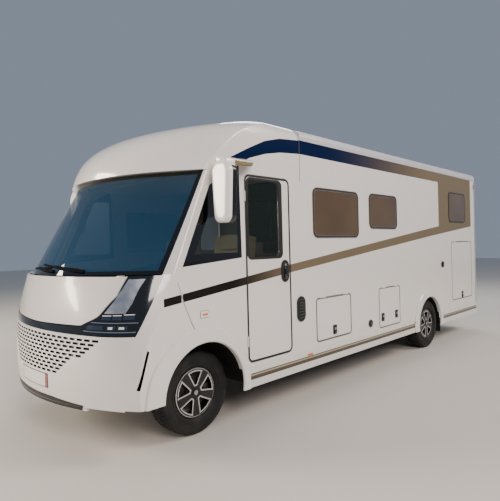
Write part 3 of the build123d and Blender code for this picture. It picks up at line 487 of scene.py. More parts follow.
screenLook = {
    "foot": 1.43, "head": 2.225,                               # heights of the black border's edges
    "slant": ((1.4, 1.045), (2.3, 1.09)),                      # its upright edge, as (z, x)
    "shade": ((1.5, 0.66), (2.25, 0.40)),                      # how solid the tint is, by height
}


def windscreenGlass():
    # laminated, solar tinted glass: blue and clear, with a fired black border
    material, shader = newMaterial("laminatedGlass", "#27445e", Roughness=0.02, IOR=1.5, Coat_Weight=0.3)
    x, z = axesOf(material)[::2]
    slant, shade = (addNode(material, "ShaderNodeMapRange", inputs={
        "Value": z, "From Min": low[0], "From Max": high[0], "To Min": low[1], "To Max": high[1]}).outputs["Result"]
        for low, high in (screenLook["slant"], screenLook["shade"]))
    border = combined(material, "MAXIMUM", between(material, distance(material, x), slant),
                      between(material, z, high=screenLook["foot"]), between(material, z, screenLook["head"]))
    feed(material, shader, Base_Color=layered(material, "#1d425e", (border, "#060b12")),
         Alpha=combined(material, "MAXIMUM", shade, border))
    return material


paneLook = {
    "cabEnd": -2.26,                                           # the cab's panes lie in front of it
    "pillar": ((1.551, -2.817), (2.16, -2.53)),                # the clear field's front edge, as (z, y)
    "fieldRear": -2.325, "fieldFoot": 1.551, "fieldHead": 2.19,
}


def sidePanes():
    # tinted double acrylic, nearly a mirror from outside, and the cab's glass with its black border
    material, shader = newMaterial("bronzeAcrylic", "#6e573d", Roughness=0.05, Coat_Weight=0.8, Coat_Roughness=0.02)
    y, z = axesOf(material)[1:]
    inCab = between(material, y, high=paneLook["cabEnd"])
    low, high = paneLook["pillar"]
    pillar = addNode(material, "ShaderNodeMapRange", {"clamp": False}, {
        "Value": z, "From Min": low[0], "From Max": high[0], "To Min": low[1], "To Max": high[1]}).outputs["Result"]
    clear = combined(material, "MULTIPLY", between(material, y, pillar, paneLook["fieldRear"]),
                     between(material, z, paneLook["fieldFoot"], paneLook["fieldHead"]))
    acrylic = layered(material, "#8a6d4a", (patches(material, 625, 2), "#5a4631"))
    glass = layered(material, "#050607", (clear, "#2a342f"))
    solid = addNode(material, "ShaderNodeMapRange", inputs={
        "Value": combined(material, "MULTIPLY", inCab, clear), "To Min": 1.0, "To Max": 0.4})
    mirror = addNode(material, "ShaderNodeMapRange", inputs={"Value": inCab, "To Min": 0.6, "To Max": 0.0})
    feed(material, shader, Base_Color=layered(material, acrylic, (inCab, glass)), Alpha=solid.outputs["Result"],
         Metallic=mirror.outputs["Result"])
    return material


def plastic(name, colour, roughness, bump, mm, coat=0.0):
    # a moulded or lacquered skin, with a grain of that many millimetres
    material, shader = newMaterial(name, colour, Coat_Weight=coat, Coat_Roughness=0.05)
    varied(material, shader, 40, 0.25, roughness * 0.8, roughness * 1.2, bump=bump, bumpMm=mm)
    return material


def metal(name, colour, roughness, mm=30, bump=0.0, metallic=1.0):
    material, shader = newMaterial(name, colour, Metallic=metallic)
    varied(material, shader, mm, 0.25, roughness * 0.8, roughness * 1.3, bump=bump, bumpMm=mm / 3)
    return material


def tyreCompound():
    # vulcanised rubber: dull near-black, dusty at the sides
    material, shader = newMaterial("tyreRubber", "#16161a", Specular_IOR_Level=0.35)
    varied(material, shader, 30, 0.3, 0.55, 0.8, bump=0.3, bumpMm=3)
    tinted(material, shader, "#131315", "#24221f", 120, 0.42, 0.7)
    return material


def wiperRubber():
    # graphite-coated rubber, which takes no light from the screen's slope
    material, shader = newMaterial("wiperRubber", "#0b0b0c", Specular_IOR_Level=0.06)
    varied(material, shader, 30, 0.25, 0.78, 0.95, bump=0.2, bumpMm=3)
    return material


def wovenCloth(name, first, second, mm):
    # woven upholstery: two crossing threads, drawn coarser than real so that they show
    material, shader = newMaterial(name, first, Roughness=0.85, Sheen_Weight=0.25)
    where = addNode(material, "ShaderNodeTexCoord").outputs["Object"]
    weave = combined(material, "MULTIPLY", *(addNode(
        material, "ShaderNodeTexWave", {"bands_direction": direction},
        {"Vector": where, "Scale": 1000 / mm / 6.283, "Distortion": 0.6}).outputs["Fac"] for direction in "XZ"))
    relief = addNode(material, "ShaderNodeBump", inputs={"Distance": 0.0008, "Height": weave})
    feed(material, shader, Base_Color=layered(material, first, (weave, second)), Normal=relief.outputs["Normal"])
    return material


def woodVeneer(name, first, second):
    # sliced veneer with long grain along Z
    material, shader = newMaterial(name, first, Coat_Weight=0.2, Roughness=0.38)
    where = addNode(material, "ShaderNodeTexCoord").outputs["Object"]
    stretch = addNode(material, "ShaderNodeMapping", inputs={"Vector": where, "Scale": (14, 14, 1.2)})
    grain = addNode(material, "ShaderNodeTexNoise", inputs={
        "Vector": stretch.outputs["Vector"], "Scale": 3.0, "Detail": 6, "Distortion": 0.8})
    feed(material, shader, Base_Color=layered(material, first, (grain.outputs["Fac"], second)))
    return material


shellLook = {"headTop": 2.262, "rearFrom": -2.640, "armFrom": 2.240, "downwards": -0.02}


def mirrorPaint():
    # gloss paint over ABS, a black rear half below the arm, and painted shade, tan, on the faces under the arm
    material, shader = newMaterial("mirrorShell", "#e9e8e4", Coat_Weight=0.5, Coat_Roughness=0.05)
    varied(material, shader, 120, 0.3, 0.18, 0.28)
    y, z = axesOf(material)[1:]
    rear = combined(material, "MULTIPLY", between(material, z, high=shellLook["headTop"]),
                    between(material, y, shellLook["rearFrom"]))
    # painted shade: faces that look down under the arm are tinted tan
    under = combined(material, "MULTIPLY",
                     between(material, axesOf(material, "Normal")[2], high=shellLook["downwards"]),
                     between(material, z, shellLook["armFrom"]))
    feed(material, shader, Base_Color=layered(material, "#e9e8e4", (rear, "#0c0c0d"), (under, "#857449")))
    return material


# body: gloss whites, satin skirts, coated rails
white = gelcoat("gelcoatWhite", "#e3dfda", True)
mirrorCase = mirrorPaint()
plainWhite = gelcoat("gelcoatPlain", "#e1deda", False)
skirtWhite = skirtPaint()
grilleWhite = grilleMoulding()
anodised = metal("coatedRail", "#d3d0d6", 0.34, 120, 0.0, 0.25)
opal = plastic("opalAcrylic", "#e9eaea", 0.2, 0.0, 5, coat=0.4)
# trim: deep gloss, grained matt, and the duller lips of seals and frames
glossBlack = plastic("glossBlackAbs", "#07080b", 0.1, 0.0, 5, coat=0.8)
mattBlack = plastic("mouldedBlackPp", "#141416", 0.55, 0.25, 3)
frameBrown = plastic("brownFramePu", "#3b342f", 0.35, 0.05, 4)
sealGrey = plastic("sealGrey", "#5b5855", 0.5, 0.0, 4)
wiperBlack = wiperRubber()
# glass: blue screen, bronze panes, green door glass
screenGlass = windscreenGlass()
bronze = sidePanes()
cabGlass = newMaterial("toughenedGlass", "#1d2622", Roughness=0.02, IOR=1.5, Alpha=0.42)[0]
# wheels and the parts below: rubber, lacquer with a cut face, cast and painted iron, zinc
tyreRubber = tyreCompound()
alloyBlack = plastic("blackWheelLacquer", "#0a0908", 0.3, 0.0, 5, coat=0.15)
machined = metal("machinedAluminium", "#d9d9da", 0.2, 12, 0.05)
castIron = metal("castIron", "#3a3735", 0.6, 14, 0.5, 0.7)
chassisPaint = plastic("chassisPaint", "#17181a", 0.45, 0.15, 8)
galvanised = metal("galvanisedSteel", "#8b8d90", 0.42, 40)
exhaustSteel = metal("aluminisedSteel", "#6f6a64", 0.5, 60)
tankPlastic = plastic("mouldedPe", "#232427", 0.5, 0.3, 8)
# inside: grained dashboard, cream and pale cloth, walnut and vinyl
grainedDash = plastic("grainedDash", "#1c1d20", 0.6, 0.4, 2.5)
creamCloth = wovenCloth("creamUpholstery", "#b9b08f", "#9c9474", 4)
bedCloth = wovenCloth("mattressTicking", "#d8d2c4", "#c6bfae", 5)
cabinetWood = woodVeneer("walnutVeneer", "#6a472b", "#4a2f1c")
floorWood = woodVeneer("floorVinyl", "#6b5a48", "#544535")
# lamps and mirrors: clear-coated lenses, and metal coatings that reflect
redLens = plastic("redLens", "#8e0d0f", 0.08, 0.0, 5, coat=1.0)
amberLens = plastic("amberLens", "#d46a12", 0.08, 0.0, 5, coat=1.0)
clearLens = plastic("frostedLens", "#e6e4e0", 0.12, 0.0, 5, coat=1.0)
mirrorChrome = metal("mirrorCoating", "#e3e6e8", 0.03, 60)
chrome = metal("reflectorChrome", "#dfe3e8", 0.08, 30)
silverSatin = metal("satinSilver", "#b4bac4", 0.38, 60)
lampGlass = metal("mirroredModule", "#6a727c", 0.14, 20)
print("materials made")

finishes = (
    (white, "bonnet front_bumper front_fenders roof_cap screen_pillars side_wall_left side_wall_right rear_wall "
            "driver_door entry_door locker_lid service_lid garage_door_left garage_door_right"),
    (plainWhite, "roof arch_flares"), (skirtWhite, "skirts rear_bumper"), (anodised, "roof_rails"),
    (grilleWhite, "grille"), (mirrorCase, "mirrors"), (opal, "roof_lid_front roof_lid_rear"),
    (glossBlack, "front_band headlamps"), (mattBlack, "wheel_housings"), (redLens, "rear_lamps"),
    (screenGlass, "windscreen"), (bronze, "window_panes"), (cabGlass, "driver_door_glass entry_door_glass"),
    (tyreRubber, "tyre_front_left tyre_front_right tyre_rear_left tyre_rear_right"),
    (alloyBlack, "rim_front_left rim_front_right rim_rear_left rim_rear_right"),
    (castIron, "front_axle rear_axle knuckle_left knuckle_right engine"),
    (chassisPaint, "chassis_frame bulkhead"), (galvanised, "radiator"), (exhaustSteel, "exhaust"),
    (tankPlastic, "tanks"), (grainedDash, "dashboard"), (creamCloth, "cab_seats dinette"),
    (bedCloth, "rear_bed drop_bed"), (cabinetWood, "furniture"), (floorWood, "floor"),
)
for material, names in finishes:
    for name in names.split():
        dress(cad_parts[name], material)
print("nodes dressed")


# outside trim of the side walls

leaves = {
    # front, rear, bottom, top and corner radius of each leaf's opening, side, body, its seal's width and finish
    "driverDoor": (-2.230, -1.598, 0.535, 2.262, 0.060, 1, "driver_door", 0.018, mattBlack),
    "entryDoor": (-1.005, -0.385, 0.535, 2.300, 0.060, -1, "entry_door", 0.018, mattBlack),
    "lockerLid": (-1.187, -0.503, 0.553, 1.025, 0.040, 1, "locker_lid", 0.013, sealGrey),
    "serviceLid": (0.153, 0.723, 0.512, 1.024, 0.040, 1, "service_lid", 0.010, sealGrey),
    "garageDoorLeft": (2.565, 3.465, 0.625, 1.597, 0.040, 1, "garage_door_left", 0.009, sealGrey),
    "garageDoorRight": (2.565, 3.465, 0.625, 1.597, 0.040, -1, "garage_door_right", 0.009, sealGrey),
}
sealLook = {"inset": 0.001, "thick": 0.0028}
for name, (front, rear, bottom, top, radius, side, body, width, material) in leaves.items():
    # the seal lies on the leaf's own edge and stands a little proud
    inset = sealLook["inset"]
    ring = sideRing(name + "Seal", (front + inset, bottom + inset), (rear - inset, top - inset), radius - inset,
                    side * (sideX - inset), side * sealLook["thick"], width)
    done(ring, body, material)
print("seals placed")

windows = {
    # front, rear, bottom, top of each pane
    "Left": [(-1.196, -0.318, 1.691, 2.206), (-0.035, 0.660, 1.800, 2.215), (2.485, 3.165, 1.935, 2.400)],
    "Right": [(-2.105, -1.305, 1.560, 2.080), (-0.085, 0.610, 1.700, 2.150), (2.485, 3.165, 1.935, 2.400)],
}
paneX = 1.158                # the panes' outer face
windowTrim = {
    # a frame round each pane, and a bright line where the pane meets its seal:
    # reach past the pane's edge, corner radius, depth into the pane, thickness, width, finish
    "windowFrame": (0.014, 0.074, 0.0008, 0.0035, 0.022, frameBrown),
    "paneLine": (-0.010, 0.052, 0.0006, 0.0016, 0.0035, silverSatin),
}
for side, label in sides:
    for number, (front, rear, bottom, top) in enumerate(windows[label]):
        for name, (reach, radius, depth, thick, width, material) in windowTrim.items():
            ring = sideRing(f"{name}{label}{number}", (front - reach, bottom - reach), (rear + reach, top + reach),
                            radius, side * (paneX - depth), side * thick, width)
            if name == "windowFrame":
                fitted(ring, 0.0012, 2, "coach", material)
            else:
                done(ring, "coach", material)
print("window frames placed")


def doorGasket(name, side, front, rear, bottom, top, widths, body):
    # the black surround of a door's glass. widths are those at the front, rear, bottom and top
    x = side * (sideX - 0.0005)
    outer = roundedCorners((front, bottom), (rear, top), 0.055)
    inner = roundedCorners((front + widths[0], bottom + widths[2]), (rear - widths[1], top - widths[3]), 0.035)
    plate = drawOutline(name, [(x, y, z) for y, z in outer])
    hole = drawOutline(name + "Hole", [(x - side * 0.01, y, z) for y, z in inner])
    pushOut(plate, (side * 0.003, 0, 0))
    pushOut(hole, (side * 0.03, 0, 0))
    applyModifier(plate, "BOOLEAN", operation="DIFFERENCE", object=hole, solver="EXACT")
    bpy.data.objects.remove(hole, do_unlink=True)
    done(plate, body, mattBlack)


doorGasket("driverGlassGasket", 1, -2.211, -1.712, 1.478, 2.240, (0.024, 0.052, 0.024, 0.026), "driver_door")
doorGasket("entryGlassGasket", -1, -0.912, -0.508, 1.543, 2.077, (0.024, 0.024, 0.024, 0.024), "entry_door")


# handles, locks, caps and small lamps on the sides

def capsule(name, side, front, rear, bottom, top, thick, body):
    # a black dish whose ends are just short of half circles
    plate = sidePlate(name, (front, bottom), (rear, top), (rear - front) / 2 - 0.0005, side * (sideX - sunk),
                      side * thick)
    fitted(plate, 0.006, 3, body, mattBlack)


handleLook = {
    # reaches out of the wall, half widths, and distances from the dish's foot and head
    "dish": 0.010, "grip": (0.004, 0.024), "gripHalf": 0.019, "gripFoot": 0.030, "gripHead": 0.075,
    "lock": 0.010, "lockHead": 0.045, "lockRadius": 0.014, "lockDepth": 0.008,
    "slit": (0.0138, 0.0146), "slitHalf": 0.001, "slitHead": (0.052, 0.038),
}


def wallBox(name, side, reach, mid, half, heights):
    # a box on a side wall that spans half to the front and half to the rear of mid
    return sideBox(name, side, [sideX + x for x in reach], (mid - half, mid + half), heights)


def doorHandle(name, side, front, rear, bottom, top, body):
    # an upright grip in a dish, with the lock above it
    look = handleLook
    mid = (front + rear) / 2
    capsule(name + "Dish", side, front, rear, bottom, top, look["dish"], body)
    grip = wallBox(name + "Grip", side, look["grip"], mid, look["gripHalf"],
                   (bottom + look["gripFoot"], top - look["gripHead"]))
    fitted(grip, 0.010, 4, body, glossBlack)
    lock = addDisc(name + "Lock", (side * (sideX + look["lock"]), mid, top - look["lockHead"]), look["lockRadius"],
                   look["lockDepth"])
    fitted(lock, 0.002, 2, body, machined)
    slit = wallBox(name + "KeySlit", side, look["slit"], mid, look["slitHalf"], [top - z for z in look["slitHead"]])
    done(slit, body, mattBlack)


doorHandle("driverHandle", 1, -1.746, -1.630, 1.240, 1.461, "driver_door")
doorHandle("entryHandle", -1, -0.520, -0.405, 1.200, 1.430, "entry_door")

locks = {
    # side, y, z and body of each compression lock
    "lockerLock": (1, -0.845, 0.645, "locker_lid"),
    "serviceLockFront": (1, 0.245, 0.645, "service_lid"),
    "serviceLockRear": (1, 0.611, 0.645, "service_lid"),
    "garageLockLeft": (1, 3.011, 0.691, "garage_door_left"),
    "garageLockRight": (-1, 3.011, 0.691, "garage_door_right"),
}
lockLook = {
    # the plate's half sizes, corner radius and thickness, and how far the rest reaches out, up and down
    "plate": (0.036, 0.052), "corner": 0.012, "thick": 0.007,
    "barrel": 0.009, "barrelUp": 0.012, "barrelRadius": 0.017, "barrelDepth": 0.010,
    "pull": (0.004, 0.013), "pullHalf": 0.022, "pullDown": (0.040, 0.018),
}
for name, (side, y, z, body) in locks.items():
    # a square plate with a raised round barrel and a pull below it
    long, high = lockLook["plate"]
    plate = sidePlate(name, (y - long, z - high), (y + long, z + high), lockLook["corner"], side * (sideX - sunk),
                      side * lockLook["thick"])
    fitted(plate, 0.002, 2, body, mattBlack)
    barrel = addDisc(name + "Barrel", (side * (sideX + lockLook["barrel"]), y, z + lockLook["barrelUp"]),
                     lockLook["barrelRadius"], lockLook["barrelDepth"])
    fitted(barrel, 0.002, 2, body, silverSatin)
    pull = wallBox(name + "Pull", side, lockLook["pull"], y, lockLook["pullHalf"],
                   [z - down for down in lockLook["pullDown"]])
    fitted(pull, 0.003, 2, body, glossBlack)

capsule("ventGrip", 1, -1.516, -1.379, 0.813, 1.077, 0.014, "coach")
slats = {"count": 7, "lowest": 0.855, "apart": 0.030, "high": 0.012}
for number in range(slats["count"]):
    z = slats["lowest"] + number * slats["apart"]
    slat = sideBox(f"ventSlat{number}", 1, (sideX + 0.010, sideX + 0.019), (-1.492, -1.403),
                   (z, z + slats["high"]))
    roundEdges(slat, 0.002)
    done(slat, "coach", glossBlack)

for name, y, z, radius in (("waterCap", -0.071, 0.606, 0.046), ("powerCap", 2.183, 1.242, 0.050)):
    ring = addDisc(name, (sideX + 0.006, y, z), radius, 0.014)
    fitted(ring, 0.004, 3, "coach", mattBlack)
    button = addDisc(name + "Button", (sideX + 0.014, y, z), radius * 0.62, 0.010)
    fitted(button, 0.003, 3, "coach", glossBlack)

lamps = {
    # middle as (y, z), half length, half height, the rim's width, the face's x, lens
    "repeater": ((-2.730, 1.047), 0.027, 0.008, 0.021, sideX, amberLens),
    "skirtMarkerFront": ((-1.325, 0.455), 0.042, 0.011, 0.006, 1.156, amberLens),
    "skirtMarkerRear": ((1.175, 0.455), 0.042, 0.011, 0.006, 1.156, amberLens),
    "cornerMarker": ((3.620, 2.577), 0.016, 0.040, 0.006, sideX, redLens),
}


def lampPlate(name, side, middle, long, high, radius, x, thick):
    # long and high are half the length and half the height
    y, z = middle
    return sidePlate(name, (y - long, z - high), (y + long, z + high), radius, side * x, side * thick)


for side, label in sides:
    for name, (middle, long, high, rim, x, lens) in lamps.items():
        grow = high + rim
        base = lampPlate(name + label + "Base", side, middle, long + rim, grow, grow * 0.55, x - sunk, 0.006)
        roundEdges(base, 0.002)
        done(base, "coach", clearLens)
        if name == "repeater":
            # its wide rim sits on a dark ring, painted shadow round the lamp
            wide = rim + 0.0025
            grow = high + wide
            # painted shadow: a black plate a little wider than the lamp's rim
            rimShadow = lampPlate(name + label + "Gasket", side, middle, long + wide, grow, grow * 0.55, x - sunk, 0.003)
            done(rimShadow, "coach", mattBlack)
        lamp = lampPlate(name + label, side, middle, long, high, 0.006, x + 0.004, 0.008)
        fitted(lamp, 0.003, 3, "coach", lens)
print("side fittings placed")

# trim of the rear corners, the seam behind the roof cap, and mud flaps behind the rear wheels
for side, label in sides:
    trim = sidePlate("rearCornerTrim" + label, (3.638, 0.502), (3.664, 2.70), 0.004, side * (sideX - 0.001),
                     side * 0.008)
    fitted(trim, 0.002, 2, "coach", silverSatin)
    seam = sideBox("capSeam" + label, side, (1.1492, 1.1512), (-1.4185, -1.4125), (2.262, 2.686))
    done(seam, "coach", sealGrey)
    flap = sideBox("mudFlap" + label, side, (0.90, 1.12), (2.115, 2.123), (0.175, 0.395))
    roundEdges(flap, 0.003)
    done(flap, "coach", mattBlack)
print("trim placed")


# wheels: tyres with grooves and sipes in place of the plain ones, rim trim, brakes

wheels = {
    # middle of the wheel, side, body of the wheel, body that holds the brake, x of the bracket's foot
    "front_left": ((0.905, frontAxle, 0.360), 1, "wheel_front_left", "steer_left", 0.859),
    "front_right": ((-0.905, frontAxle, 0.360), -1, "wheel_front_right", "steer_right", 0.859),
    "rear_left": ((1.000, rearAxle, 0.360), 1, "wheel_rear_left", "coach", 0.837),
    "rear_right": ((-1.000, rearAxle, 0.360), -1, "wheel_rear_right", "coach", 0.837),
}
tyreLook = {
    "blocks": 60, "grooves": (-0.058, -0.020, 0.020, 0.058), "groove": 0.008, "grooveWide": 0.009, "slope": 0.0015,
    "crown": 0.3595, "crownDrop": 0.003, "sipe": 0.0045, "sipeEdge": 0.0012,
    # where the sipes lie: inner and outer distance from the tread's middle, and least radius
    "shoulder": (0.0625, 0.094, 0.345), "ribs": (0.025, 0.054, 0.350),
}
spokeWindow = {"root": 0.066, "rootHalf": 0.009, "rim": 0.180, "corner": 0.014, "angle": 21, "spokes": 5,
               "edge": 0.0115, "face": 0.0878, "thick": 0.0018}
wheelBolts = {"count": 5, "circle": 0.0495, "first": 126, "x": 0.088, "radius": 0.0075, "depth": 0.010}
hubCap = {"x": 0.095, "radius": 0.021, "depth": 0.004, "edge": 0.0015}
valveStem = ((0.070, 0.100), (-0.1905, -0.1825), (-0.004, 0.004))
wheelRings = {
    # section as (x, r) from the wheel's middle outwards, steps, finish
    "sidewallRing": ([(0.1095, 0.248), (0.1128, 0.252), (0.1128, 0.256), (0.1095, 0.260)], 96, tyreRubber),
    "rimLip": ([(0.0850, 0.2010), (0.0878, 0.2020), (0.0878, 0.2050), (0.0862, 0.2085), (0.0838, 0.2095)], 96,
               machined),
    "brakeDisc": ([(0.030, 0.080), (0.030, 0.148), (0.044, 0.148), (0.044, 0.088), (0.0678, 0.088),
                   (0.0678, 0.080)], 72, castIron),
}
caliperParts = (
    # x from the wheel's middle, y behind it, half height: two cheeks and a bridge round the disc
    ((0.010, 0.026), (0.086, 0.166), 0.045), ((0.048, 0.0605), (0.098, 0.166), 0.045),
    ((0.010, 0.0605), (0.1525, 0.166), 0.042),
)
caliperBracket = {"x": 0.014, "y": (0.030, 0.120), "half": 0.022}


def spinProfile(name, points, middle, steps):
    # a closed section (x, r) beside the wheel's middle, turned about the wheel's axis
    obj = drawOutline(name, [(middle[0] + x, middle[1], middle[2] + r) for x, r in points])
    editAll(obj)
    bpy.ops.mesh.delete(type="ONLY_FACE")
    bpy.ops.mesh.select_all(action="SELECT")
    bpy.ops.mesh.spin(steps=steps, angle=2 * pi, center=middle, axis=(1, 0, 0), use_auto_merge=True)
    leaveEdit()
    outwards(obj)
    smooth(obj, 32)
    return obj


def tyreSection():
    # the CAD tyre's section as (x, r), closed along the bead, with four grooves in the tread
    groove, half, slope = tyreLook["groove"], tyreLook["grooveWide"] / 2, tyreLook["slope"]
    side = [(0.076, 0.206), (0.076, 0.215), (0.090, 0.224), (0.104, 0.238), (0.1095, 0.262), (0.1115, 0.285),
            (0.110, 0.308), (0.1055, 0.330), (0.098, 0.345), (0.088, 0.3535)]
    tread = []
    for middle in tyreLook["grooves"]:
        crown = tyreLook["crown"] - tyreLook["crownDrop"] * (middle / tyreLook["grooves"][-1]) ** 2
        tread += [(middle - half, crown), (middle - half + slope, crown - groove),
                  (middle + half - slope, crown - groove), (middle + half, crown)]
    return [(-x, r) for x, r in side] + tread + [(x, r) for x, r in reversed(side)]


def cutSipes(obj, middle):
    # every third face of the shoulder and of the inner ribs is sunk, which leaves cross grooves
    editAll(obj)
    bpy.ops.mesh.select_all(action="DESELECT")
    bpy.ops.mesh.select_mode(type="FACE")
    leaveEdit()
    steps = 3 * tyreLook["blocks"]
    for face in obj.data.polygons:
        x, y, z = face.center
        r = hypot(y - middle[1], z - middle[2])
        step = int(round((atan2(z - middle[2], y - middle[1]) / (2 * pi) * steps) - 0.5))
        shoulder, rib = (near < abs(x - middle[0]) < far and r > least
                         for near, far, least in (tyreLook["shoulder"], tyreLook["ribs"]))
        face.select = (shoulder and step % 3 == 0) or (rib and (step + 1) % 3 == 0)
    bpy.ops.object.mode_set(mode="EDIT")
    bpy.ops.mesh.inset(thickness=tyreLook["sipeEdge"], depth=0)
    bpy.ops.mesh.extrude_region_shrink_fatten(TRANSFORM_OT_shrink_fatten={"value": -tyreLook["sipe"]})
    leaveEdit()
    outwards(obj)


def windowPoints():
    # the V-shaped window between two spokes, in the plane of the rim's face, with rounded ends
    spread = radians(spokeWindow["angle"])
    root, half, far = spokeWindow["root"] + 0.001, spokeWindow["rootHalf"], spokeWindow["rim"]
    shoulder = far - spokeWindow["corner"]
    flat = [(root, -half), (shoulder, -shoulder * sin(spread) - 0.001)]
    for k in range(9):
        a = (-spread + 2 * spread * k / 8) * 0.97
        flat.append((far * cos(a), far * sin(a)))
    return flat + [(shoulder, shoulder * sin(spread) + 0.001), (root, half)]


def grownPoints(points, reach):
    # every corner moved outwards by reach from its two sides. Anticlockwise outlines grow
    grown = []
    count = len(points)
    for k, (u, v) in enumerate(points):
        before, after = points[k - 1], points[(k + 1) % count]
        first = (u - before[0], v - before[1])
        second = (after[0] - u, after[1] - v)
        n1 = (first[1] / hypot(*first), -first[0] / hypot(*first))
        n2 = (second[1] / hypot(*second), -second[0] / hypot(*second))
        share = max(0.35, 1 + n1[0] * n2[0] + n1[1] * n2[1])
        grown.append((u + (n1[0] + n2[0]) * reach / share, v + (n1[1] + n2[1]) * reach / share))
    return grown


def ringBetween(name, inner, outer, lift):
    # a flat ring between two outlines with the same number of points, raised to a solid by lift
    loops = []
    for number, points in enumerate((inner, outer)):
        loop = drawOutline(f"{name}{number}", points)
        editAll(loop)
        bpy.ops.mesh.delete(type="ONLY_FACE")
        leaveEdit()
        loops.append(loop)
    ring = joined(loops, name)
    editAll(ring)
    bpy.ops.mesh.select_mode(type="EDGE")
    bpy.ops.mesh.select_all(action="SELECT")
    bpy.ops.mesh.bridge_edge_loops()
    leaveEdit()
    pushOut(ring, lift)
    return ring


def silverEdge(name, middle, side, turn):
    # a machined strip round one window
    x = middle[0] + side * spokeWindow["face"]
    c, s = cos(radians(turn)), sin(radians(turn))
    outlines = (windowPoints(), grownPoints(windowPoints(), spokeWindow["edge"]))
    inner, outer = ([(x, middle[1] + u * c - v * s, middle[2] + u * s + v * c) for u, v in points]
                    for points in outlines)
    return ringBetween(name, inner, outer, (side * spokeWindow["thick"], 0, 0))


def wheelBox(name, side, middle, xs, ys, zs):
    # a box placed from the wheel's middle, xs outwards
    return sideBox(name, side, [abs(middle[0]) + x for x in xs], [middle[1] + y for y in ys],
                   [middle[2] + z for z in zs])


for label, (middle, side, wheelBody, holder, foot) in wheels.items():
    tyre = spinProfile("tyreTread_" + label, tyreSection(), middle, 3 * tyreLook["blocks"])
    cutSipes(tyre, middle)
    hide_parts("tyre_" + label)
    done(tyre, wheelBody, tyreRubber)
    for name, (section, steps, material) in wheelRings.items():
        ring = spinProfile(f"{name}_{label}", [(side * x, r) for x, r in section], middle, steps)
        done(ring, wheelBody, material)
    count = spokeWindow["spokes"]
    edges = [silverEdge(f"silverEdge_{label}_{k}", middle, side, 90 + 360 * k / count) for k in range(count)]
    done(joined(edges, "silverEdges_" + label), wheelBody, machined)
    spot = (middle[0] + side * hubCap["x"], *middle[1:])
    cap = addDisc("hubCap_" + label, spot, hubCap["radius"], hubCap["depth"])
    fitted(cap, hubCap["edge"], 2, wheelBody, silverSatin)
    bolts = []
    for k in range(wheelBolts["count"]):
        a = radians(wheelBolts["first"] + 360 * k / wheelBolts["count"])
        spot = (middle[0] + side * wheelBolts["x"], middle[1] + wheelBolts["circle"] * cos(a),
                middle[2] + wheelBolts["circle"] * sin(a))
        bolts.append(addDisc(f"bolt_{label}_{k}", spot, wheelBolts["radius"], wheelBolts["depth"], 6))
    done(joined(bolts, "wheelBolts_" + label), wheelBody, alloyBlack)
    valve = wheelBox("valve_" + label, side, middle, *valveStem)
    roundEdges(valve, 0.002)
    done(valve, wheelBody, mattBlack)
    # the caliper behind the axle, and its bracket
    parts = []
    for number, (xs, ys, half) in enumerate(caliperParts):
        piece = wheelBox(f"caliper_{label}_{number}", side, middle, xs, ys, (-half, half))
        roundEdges(piece, 0.004)
        parts.append(piece)
    half = caliperBracket["half"]
    parts.append(wheelBox(f"caliperBracket_{label}", side, middle, (foot - abs(middle[0]), caliperBracket["x"]),
                          caliperBracket["y"], (-half, half)))
    caliper = joined(parts, "caliper_" + label)
    smooth(caliper)
    done(caliper, holder, castIron)
print("wheels made")


# nose: patches drawn in front view and laid on the curved panels

def patchOn(name, points, node, lift, thick, cells=0.03):
    # points are (x, z), anticlockwise from the front. The patch stands lift above the node's skin
    ahead = -3.9         # y of the drawing, clear of the nose
    root = 0.0015        # how far the patch's foot lies inside the skin
    obj = drawOutline(name, [(x, ahead, z) for x, z in points])
    xs, zs = zip(*points)
    editAll(obj)
    for low, high, normal in ((min(xs), max(xs), (1, 0, 0)), (min(zs), max(zs), (0, 0, 1))):
        count = int((high - low) / cells)
        for k in range(1, count + 1):
            at = low + (high - low) * k / (count + 1)
            bpy.ops.mesh.select_all(action="SELECT")
            bpy.ops.mesh.bisect(plane_co=(at, ahead, at), plane_no=normal)
    leaveEdit()
    applyModifier(obj, "SHRINKWRAP", target=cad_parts[node], wrap_method="PROJECT", use_project_y=True,
                  use_negative_direction=False, use_positive_direction=True)
    activate(obj)
    bpy.ops.transform.translate(value=(0, -lift - thick, 0))
    bakePlace(obj)
    pushOut(obj, (0, thick + lift + root, 0))
    smooth(obj, 30)
    return obj


def oblong(left, bottom, right, top):
    return [(left, bottom), (right, bottom), (right, top), (left, top)]


lampPatches = {
    # outline as (x, z) on the vehicle's left, and its finish
    "silverWedge": ([(0.868, 1.118), (1.008, 1.118), (1.030, 1.190), (1.040, 1.300), (1.052, 1.372), (0.966, 1.372),
                     (0.950, 1.300), (0.918, 1.205)], "silver"),
    "lampRibUpper": ([(0.760, 1.046), (1.085, 1.046), (1.084, 1.052), (0.766, 1.052)], "chrome"),
    "lampRibLower": ([(0.690, 0.978), (1.080, 0.978), (1.080, 0.984), (0.693, 0.984)], "chrome"),
    "moduleUpperA": ([(0.850, 1.072), (0.920, 1.072), (0.922, 1.096), (0.854, 1.096)], "glass"),
    "moduleUpperB": (oblong(0.934, 1.072, 0.990, 1.098), "glass"),
    "moduleUpperC": ([(1.004, 1.074), (1.062, 1.074), (1.060, 1.104), (1.004, 1.104)], "glass"),
    "moduleLowerA": ([(0.718, 0.996), (0.872, 0.996), (0.872, 1.028), (0.732, 1.028)], "glass"),
    "moduleLowerB": (oblong(0.902, 0.996, 0.960, 1.028), "glass"),
    "moduleLowerC": (oblong(0.975, 0.996, 1.033, 1.028), "glass"),
    "daylightA": ([(0.856, 1.100), (0.922, 1.100), (0.923, 1.106), (0.858, 1.106)], "lens"),
    "daylightB": (oblong(0.936, 1.102, 0.990, 1.108), "lens"),
    "daylightC": ([(1.004, 1.107), (1.060, 1.107), (1.059, 1.113), (1.004, 1.113)], "lens"),
    "lowBeam": (oblong(0.916, 1.003, 0.946, 1.021), "lens"),
    "highBeam": (oblong(0.989, 1.003, 1.019, 1.021), "lens"),
}
